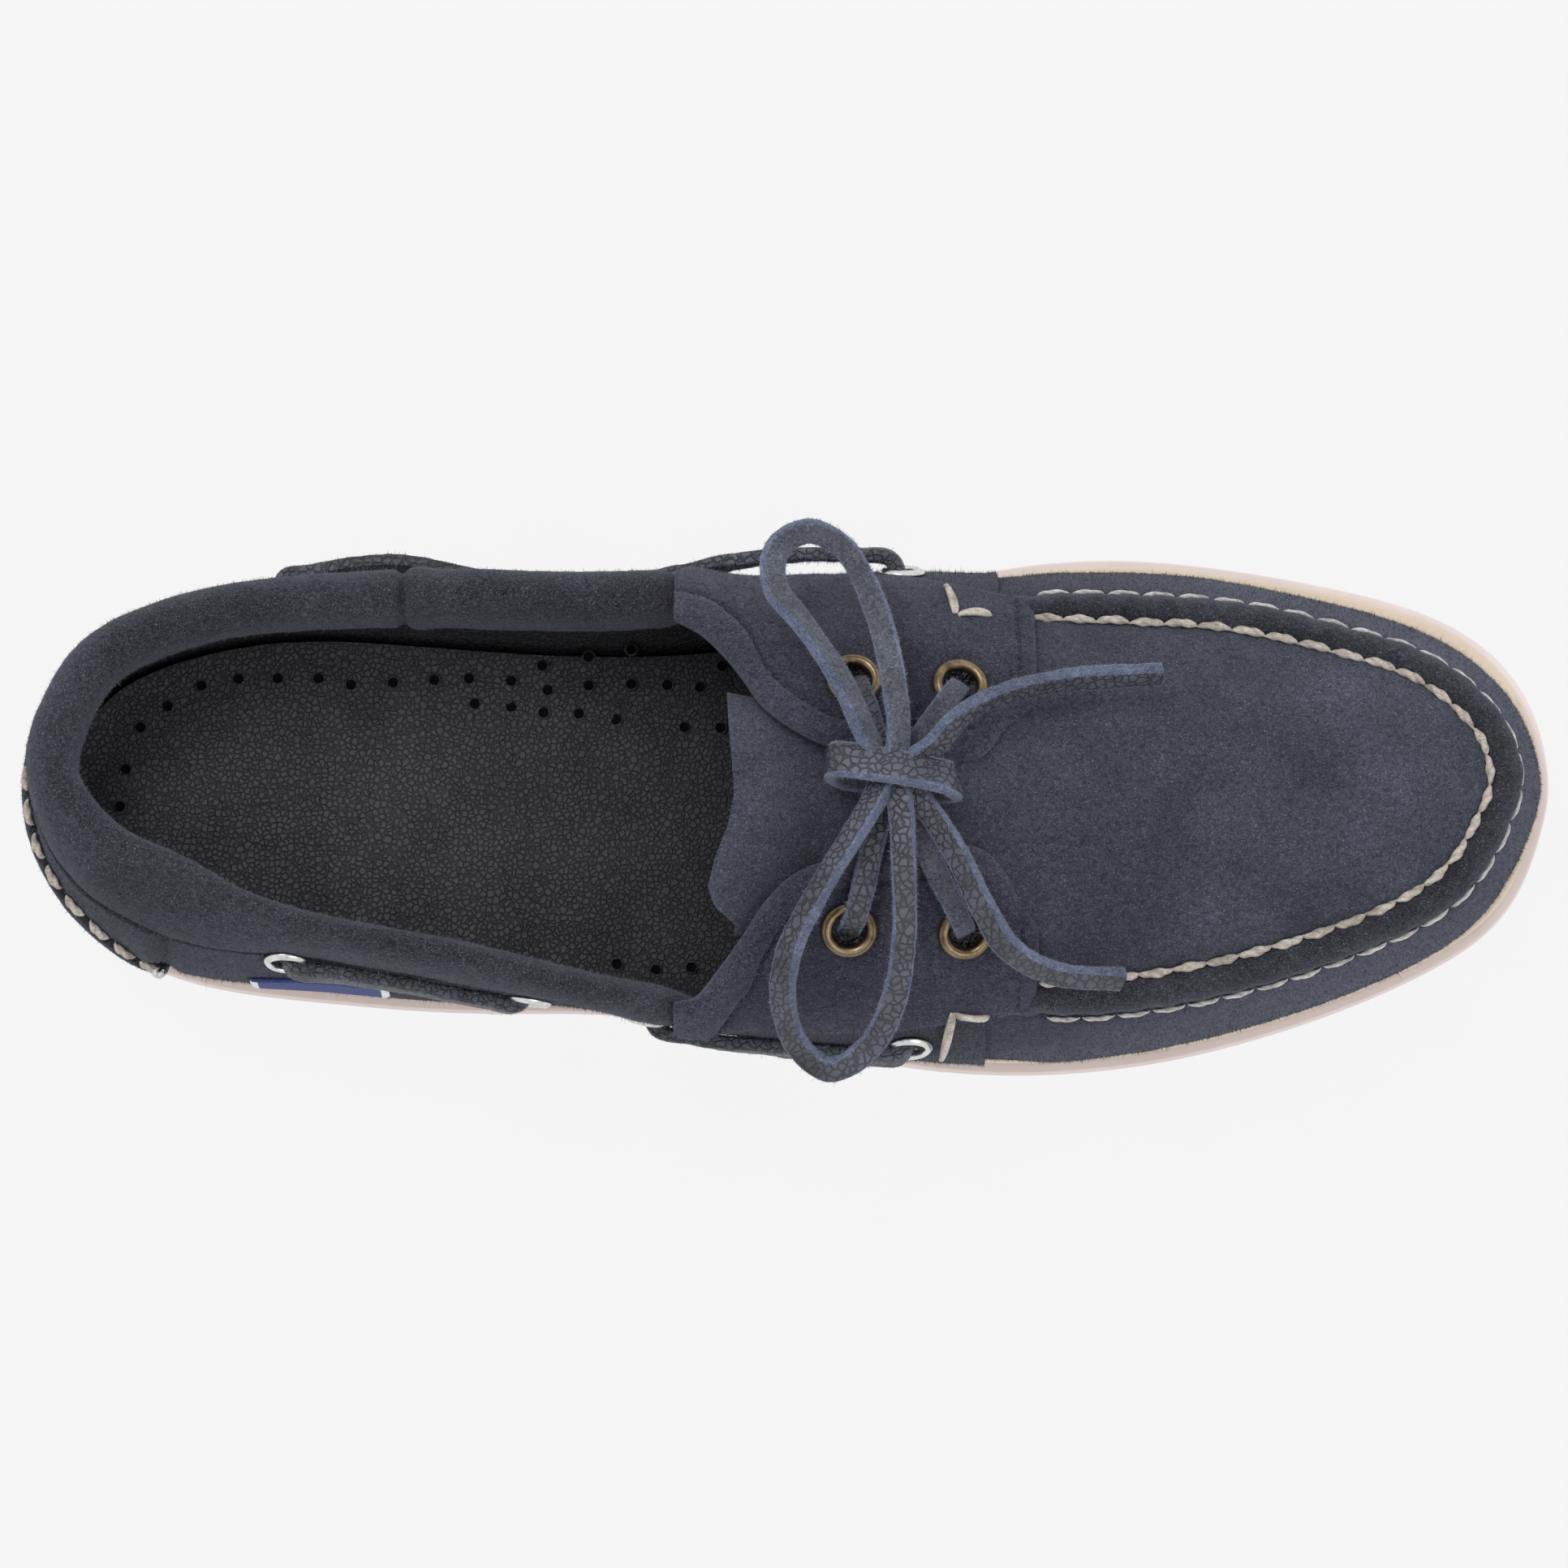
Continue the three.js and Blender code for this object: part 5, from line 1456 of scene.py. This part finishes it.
def fine_seam(name, path, normals, seed):
    """Machine stitches along a line on a surface."""
    reach = reach_along(path)
    at = np.arange(0.5, reach[-1] - SEAM_STITCH, SEAM_PITCH)
    starts, stops = read_along(reach, path, at), read_along(reach, path, at + SEAM_STITCH)
    threads(name, starts, stops, read_along(reach, normals, at), SEAM_THREAD, THREAD_NAVY, arch=0.12,
            twist=1.0, seed=seed, dive=0.25)


def stay_seams():
    """Seams along the folded edge and the front edge of both eyestays."""
    for side, word in ((1, "inner"), (-1, "outer")):
        edge = stay_edge(side)
        lines = []
        x = np.linspace(COLLAR_FRONT + 2, 36, 160)
        slope = np.gradient(np.interp(x, edge[:, 0], edge[:, 1]), x)
        y = np.interp(x, edge[:, 0], edge[:, 1]) + side * (FOLD_WIDE + 0.3) * np.sqrt(1 + slope**2)
        level = level_where(side, x, 0.5, 2.0, lambda p: p[..., 1] * side < y * side)
        u = share_at(side, x, level)
        lines.append((skin(u, level, GAP + OVERLAY - 0.2), form_normal(u, level)))
        top = float(level_where(side, np.array(STAY_FRONT - SEAM_IN), 0.5, 2.0,
                                lambda p: p[..., 1] * side < (edge[-1, 1] + side * 3) * side))
        low = float(level_where(side, np.array(STAY_FRONT - SEAM_IN), 0.2, 1.3,
                                lambda p: p[..., 2] > STAY_LOW + 1))
        level = np.linspace(low, top, 80)
        u = share_at(side, np.full(80, STAY_FRONT - SEAM_IN), level)
        lines.append((skin(u, level, GAP + OVERLAY - 0.15), form_normal(u, level)))
        for number, (path, normals) in enumerate(lines):
            fine_seam(f"seam_{word}_{number + 1}", path, normals, seed=90 + number)


# Strands of the knot in pairs of ends: along the seam, up
HEEL_KNOT = np.array([(0.2, 1.6), (2.6, -2.4), (0.0, -1.8), (2.8, 1.2), (-0.6, -0.2), (2.4, -0.6)])


HEEL_STITCH = 5.2


def heel_stitches(counter_u, counter_high):
    """Thick stitches along the heel patch's upper edge, and the knot that ends them on the outer side."""
    rim, foot = rim_point(counter_u), foot_point(counter_u)
    level = ((counter_high + 0.6 - foot[:, 2]) / (rim[:, 2] - foot[:, 2])).clip(0.05, 1)
    path, normals = skin(counter_u, level, 1.0), form_normal(counter_u, level)
    reach = reach_along(path)
    at = np.arange(2.0, reach[-1] - 6, STITCH_PITCH)
    starts, stops = read_along(reach, path, at), read_along(reach, path, at + HEEL_STITCH)
    threads("stitches_heel", starts, stops, read_along(reach, normals, at), 1.9, THREAD_CREAM,
            seed=5, arch=0.25, dive=0.4, full=0.35)
    out = read_along(reach, normals, HEEL_KNOT[:, 0])
    tied = read_along(reach, path, HEEL_KNOT[:, 0]) + HEEL_KNOT[:, 1:2] * np.array(UP) + out * 0.4
    threads("heel_knot", tied[0::2], tied[1::2], out[0::2], 1.5, THREAD_WHITE,
            seed=6, arch=0.5, dive=0.3, full=0.3)


# Lace

KNOT_PLACE = (0.56, -0.034)
KNOT_RISE = 5.2
KNOT_X = place_at(KNOT_PLACE[0])
KNOT = np.array([KNOT_X, KNOT_PLACE[1] * BALL_WIDTH, crown_height(KNOT_X) + KNOT_RISE])
KNOT_WIDE = 7.0
KNOT_THICK = 2.6

# Routes measured from the knot, and the way the flat side faces at points along them
KNOT_PATH = [
    (-3.5, 1.5, -3.8), (-8.5, 2.2, -3.4), (-10.8, 3, -0.6), (-10, 3.5, 3.0), (0, 2, 4.6), (10.5, 0, 3.0),
    (11.6, -0.5, -0.6), (9, -0.5, -3.4), (4, 0, -3.8),
]
LOOP_INNER = [
    (-1.5, 2, 1.6), (-4.5, 8, 4), (-9, 17.5, 6), (-16, 28.5, 5), (-21.5, 36.5, 2), (-21, 44.5, -1),
    (-15.5, 48, -2.5), (-9, 45, -2), (-4.5, 37.5, 0), (-1.2, 27.5, 3), (0.8, 16.5, 5), (1.5, 8, 4),
    (0.5, 2, 1.6),
]
LOOP_OUTER = [
    (-1.2, 0, 1.5), (-3.5, -5, 3.1), (-8, -12.5, 3.6), (-14, -22.5, 3), (-19, -32.5, 0), (-20, -41.5, -5),
    (-17, -49.5, -9), (-11, -53.5, -10), (-4, -49.5, -8), (0.5, -41.5, -4), (2.5, -29.5, 1),
    (2.5, -16.5, 3.2), (2, -6, 3.1), (1, 0, 1.5),
]
END_INNER = [(3, 2.6, 1.6), (8, 6, 3), (13, 11.5, 2.6), (21, 16.5, -1.5), (33, 20, -6), (51.5, 22, -10)]
END_OUTER = [
    (3, -1, 1.2), (7.5, -6.5, 1.6), (12.5, -14.5, 2), (17.5, -24.5, 0), (22, -31, -4), (31, -35, -11.5),
    (44, -35.5, -16.5),
]

LACE_SIDES = 24
# Where the flat face of a lace ends, in degrees round its section
LACE_CORNER = 47
# Power that squares the lace's section: 1 is round
LACE_SQUARE = 0.42


def lace(name, route, facing, wide=LACE_WIDE, thick=LACE_THICK, turned=False, seed=0, edge=LACE_EDGE):
    """Strand of hide lace: a smooth face, a fuzzy face and two cut edges."""
    route = np.asarray(route, float)
    length = float(reach_along(catmull(route, 200))[-1])
    count = max(24, int(length / 0.6))
    centre = catmull(route, count)
    tangent = unit(np.gradient(centre, axis=0))
    faces_at = np.asarray(facing, float).reshape(-1, 3)
    spots = np.linspace(0, 1, len(faces_at))
    f = np.linspace(0, 1, count)
    face = np.stack([np.interp(f, spots, faces_at[:, i]) for i in range(3)], -1)
    side = unit(np.cross(tangent, face))
    up = unit(np.cross(side, tangent))
    turn = np.linspace(0, 2 * math.pi, LACE_SIDES, endpoint=False) + math.pi / LACE_SIDES
    a, b = (np.sign(wave) * np.abs(wave) ** LACE_SQUARE for wave in (np.cos(turn), np.sin(turn)))
    width = wide / 2 * (1 + 0.05 * np.sin(np.linspace(0, length / 6, count) + seed))
    grid = centre[:, None] + side[:, None] * (a[None] * width[:, None])[..., None]
    grid = grid + up[:, None] * (b[None] * thick / 2)[..., None]
    out = unit(side[:, None] * a[None, :, None] * thick + up[:, None] * b[None, :, None] * wide)
    rough = 0.1 * lumps(grid, 1.6, 100 + seed, 2) + 0.12 * lumps(grid, 6, 101 + seed)
    grid = grid + out * rough[..., None]
    flat = grid.reshape(-1, 3)
    faces = grid_faces(count, LACE_SIDES, True)
    faces = facing_out(flat, faces, out.reshape(-1, 3)[faces[:, 0]])
    column_of = np.tile(np.arange(LACE_SIDES), count - 1)
    angle = np.degrees((turn[column_of] + math.pi / LACE_SIDES)) % 360
    top = (angle > LACE_CORNER) & (angle < 180 - LACE_CORNER)
    low = (angle > 180 + LACE_CORNER) & (angle < 360 - LACE_CORNER)
    grain, flesh = (low, top) if turned else (top, low)
    cut = ~(grain | flesh)
    shade = 0.5 + 0.14 * lumps(grid, 5, 103 + seed)
    made = mesh_object(
        name, flat, [faces[grain], faces[cut], faces[flesh], *end_caps(flat, LACE_SIDES)],
        [LACE_GRAIN, edge, LACE_FLESH], [0, 1, 2, 1, 1], tone=shade,
    )
    rough_side = np.arange(LACE_SIDES * 5 // 6) + (LACE_SIDES * 5 // 6 if turned else LACE_SIDES // 3)
    rough_side = rough_side % LACE_SIDES
    return made, centre, grid[:, rough_side], out[:, rough_side], length


# Piece, its node, route, the way its flat side faces along it, whether its rough side is up, its far end
BOW = [
    ("bow_loop_inner", "loop_inner", LOOP_INNER,
     [(0.75, 0.1, 0.65), (0.6, 0.3, 0.75), (0.1, -0.5, 0.85), (-0.3, 0.1, 0.95), (0.5, 0.1, 0.85)], True,
     "object"),
    ("bow_loop_outer", "loop_outer", LOOP_OUTER,
     [(-0.5, 0.35, 0.8), (-0.55, 0.2, 0.8), (-0.2, -0.55, 0.8), (0.2, -0.3, 0.9), (-0.45, 0.1, 0.9)], False,
     "object"),
    ("bow_end_inner", "end_inner", END_INNER,
     [(0.2, -0.75, 0.6), (0.2, -0.8, 0.5), (0.1, -0.85, 0.5)], False, "bare"),
    ("bow_end_outer", "end_outer", END_OUTER,
     [(-0.5, 0.2, 0.8), (-0.5, -0.1, 0.85), (-0.2, -0.75, 0.65)], False, "bare"),
    ("bow_knot", "knot", KNOT_PATH,
     [(0, 0.2, -1), (-0.6, 0.1, -0.8), (-1, 0.1, 0.2), (-0.6, 0.3, 0.8), (0, 0.45, 1), (0.6, 0.4, 0.8),
      (1, 0.2, 0.2), (0.6, 0.2, -0.8), (0, 0.2, -1)], False, "object"),
]


def bow():
    """Knot, loops and ends, each a free cord."""
    strands = []
    for number, (name, node, route, facing, turned, far_end) in enumerate(BOW):
        wide = KNOT_WIDE if node == "knot" else LACE_WIDE
        route = KNOT + np.array(route, float)
        thick = KNOT_THICK if node == "knot" else LACE_THICK
        made, centre, grid, out, length = lace(name, route, facing, wide, thick, turned, seed=number * 7)
        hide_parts(node)
        strands.append((grid, out))
    return strands


BRASS_LIES = 2 * GAP + OVERLAY
SILVER_LIES = GAP
STRAND_OFF = BRASS_LIES + 1.2 + GAP + 1.3 + LACE_THICK / 2
CROSSING_DROP = 1.6


def crossing():
    """Strands from the top eyelets to the knot."""
    middle = KNOT - np.array([0, 0, CROSSING_DROP])
    strands = []
    for number, (name, seat) in enumerate(top_seats.items()):
        point, normal, _, _ = seat_frame(seat)
        over = point + normal * (BRASS_LIES + 2.3)
        toward = unit(middle - point)
        inside = point - normal * 3.2 - toward * 0.6
        lip = point + normal * 0.6 + toward * 0.3
        bend = mix(over + toward * 3.0, middle, 0.5) + np.array([0, 0, CROSSING_DROP])
        route = [inside, lip, over + toward * 3.2 - normal * 0.2, bend, middle]
        facing = [-toward, -toward + normal, normal, np.array(UP), np.array(UP)]
        made, _, grid, out, _ = lace(f"strand_{name[7:]}", route, facing, wide=4.2, turned=number % 2 == 0,
                                     seed=40 + number)
        if number == 0:
            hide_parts("lace_crossing")
        strands.append((grid, out))
    return strands


SIDE_RUNS = {
    "lace_inner_rear": ("ring_inner_1", "ring_inner_2", 3.3, 2.6),
    "lace_inner_front": ("ring_inner_3", "ring_inner_4", 3.3, 1.4),
    "lace_outer_rear": ("ring_outer_1", "ring_outer_2", 1.8, -0.5),
    "lace_outer_front": ("ring_outer_3", "ring_outer_4", 2.0, -0.6),
}


def side_runs():
    """Lace along the sides, diving through an eyelet at each end."""
    strands = []
    for number, (node, (first, last, off_wall, bow_out)) in enumerate(SIDE_RUNS.items()):
        a, b = np.array(side_seats[first]), np.array(side_seats[last])
        f = np.linspace(0, 1, 13)
        at = a[None] * (1 - f[:, None]) + b[None] * f[:, None]
        off = off_wall + bow_out * np.sin(math.pi * f) ** 2
        off[0] = off[-1] = -1.2
        off[1] = off[-2] = off_wall * 0.93
        at[1], at[-2] = mix(at[0], at[1], 0.55), mix(at[-1], at[-2], 0.55)
        route = skin(at[:, 0], at[:, 1], off)
        facing = form_normal(at[:, 0], at[:, 1])
        name = node.replace("lace", "run")
        made, _, grid, out, _ = lace(name, route, facing, seed=60 + number, edge=LACE_GRAIN)
        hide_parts(node)
        strands.append((grid, out))
    return strands


# Stage: a bright sweep that the shoe barely shades

FLOOR_GLOW = 0.87
WORLD_GLOW = 0.9


def stage():
    """Pale floor, even light all round and two soft lamps."""
    scene = bpy.context.scene
    half = 3.0
    corners = [(-half, -half, 0), (half, -half, 0), (half, half, 0), (-half, half, 0)]
    mesh = bpy.data.meshes.new("floor")
    mesh.from_pydata(corners, [], [(0, 1, 2, 3)])
    paper, tree, shader = material("floor_paper", (0.04, 0.04, 0.04), 0.95)
    shader.inputs["Specular IOR Level"].default_value = 0.0
    shader.inputs["Emission Color"].default_value = (1, 1, 1, 1)
    shader.inputs["Emission Strength"].default_value = FLOOR_GLOW
    grain = noise(tree, 40, 3, 0.5)
    tree.links.new(ramp(tree, grain, [(0.2, (0.036,) * 3), (0.8, (0.044,) * 3)]), shader.inputs["Base Color"])
    mesh.materials.append(paper)
    floor = bpy.data.objects.new("floor", mesh)
    scene.collection.objects.link(floor)
    world = bpy.data.worlds.new("studio")
    world.use_nodes = True
    world.node_tree.nodes["Background"].inputs["Color"].default_value = (1, 1, 1, 1)
    world.node_tree.nodes["Background"].inputs["Strength"].default_value = WORLD_GLOW
    scene.world = world
    lamps = [
        ("key", (-0.5, 0.6, 1.5), 0.8, 9.0),
        ("fill", (0.7, -0.8, 1.2), 1.0, 4.0),
    ]
    for name, place, size, power in lamps:
        data = bpy.data.lights.new(name, "AREA")
        data.shape = "DISK"
        data.size = size
        data.energy = power
        lamp = bpy.data.objects.new(name, data)
        lamp.location = place
        lamp.rotation_euler = (-Vector(place)).to_track_quat("-Z", "Y").to_euler()
        scene.collection.objects.link(lamp)
    scene.view_settings.view_transform = "Standard"
    scene.view_settings.look = "None"


bow_grids = bow()
outsole()
tread()
midsole()
pinholes(footbed())
vamp_grid = vamp()
seam_grid = moc_seam()
apron_grid = apron()
quarters_made, *quarter_grid = quarters()
bore(quarters_made, side_seats.values(), 3.3)
collar_grid = collar()
stay_inner_grid = eyestay(1)
stay_outer_grid = eyestay(-1)
*counter_grid, counter_u, counter_high = counter()
label()
eyelet_set("eyelets_brass", top_seats, BRASS_PROFILE, BRASS_LIES, BRASS)
eyelet_set("eyelets_silver", side_seats, SILVER_PROFILE, SILVER_LIES, SILVER)
moc_stitches()
side_stitch("tacks", TACKS, 1.7, THREAD_TAN, GAP + OVERLAY + 0.35, 8)
stay_seams()
heel_stitches(counter_u, counter_high)
crossing_grids = crossing()
run_grids = side_runs()
NAPS = [
    ("nap_vamp", vamp_grid, 78000, 0.6, "suede"),
    ("nap_seam", seam_grid, 12000, 0.4, "suede"),
    ("nap_apron", apron_grid, 64000, 0.42, "suede_light"),
    ("nap_quarters", quarter_grid, 92000, 0.75, "suede"),
    ("nap_collar", collar_grid, 52000, 0.55, "suede"),
    ("nap_stay_inner", stay_inner_grid, 30000, 0.6, "suede"),
    ("nap_stay_outer", stay_outer_grid, 30000, 0.6, "suede"),
    ("nap_counter", counter_grid, 8000, 0.5, "suede"),
]
for number, (name, grid, count, long, slot) in enumerate(NAPS):
    nap(name, [grid], count, SUEDE_FIBRE, length=long, seed=number)
STRAYS = [vamp_grid, quarter_grid, collar_grid, stay_inner_grid, stay_outer_grid]
nap("stray_fibres", STRAYS, 2600, SUEDE_FIBRE, length=1.1, lie=0.5, seed=30)
LACES = [*bow_grids, *crossing_grids, *run_grids]
nap("nap_lace", LACES, 44000, LACE_FIBRE, length=0.6, lie=0.7, seed=20)
stage()
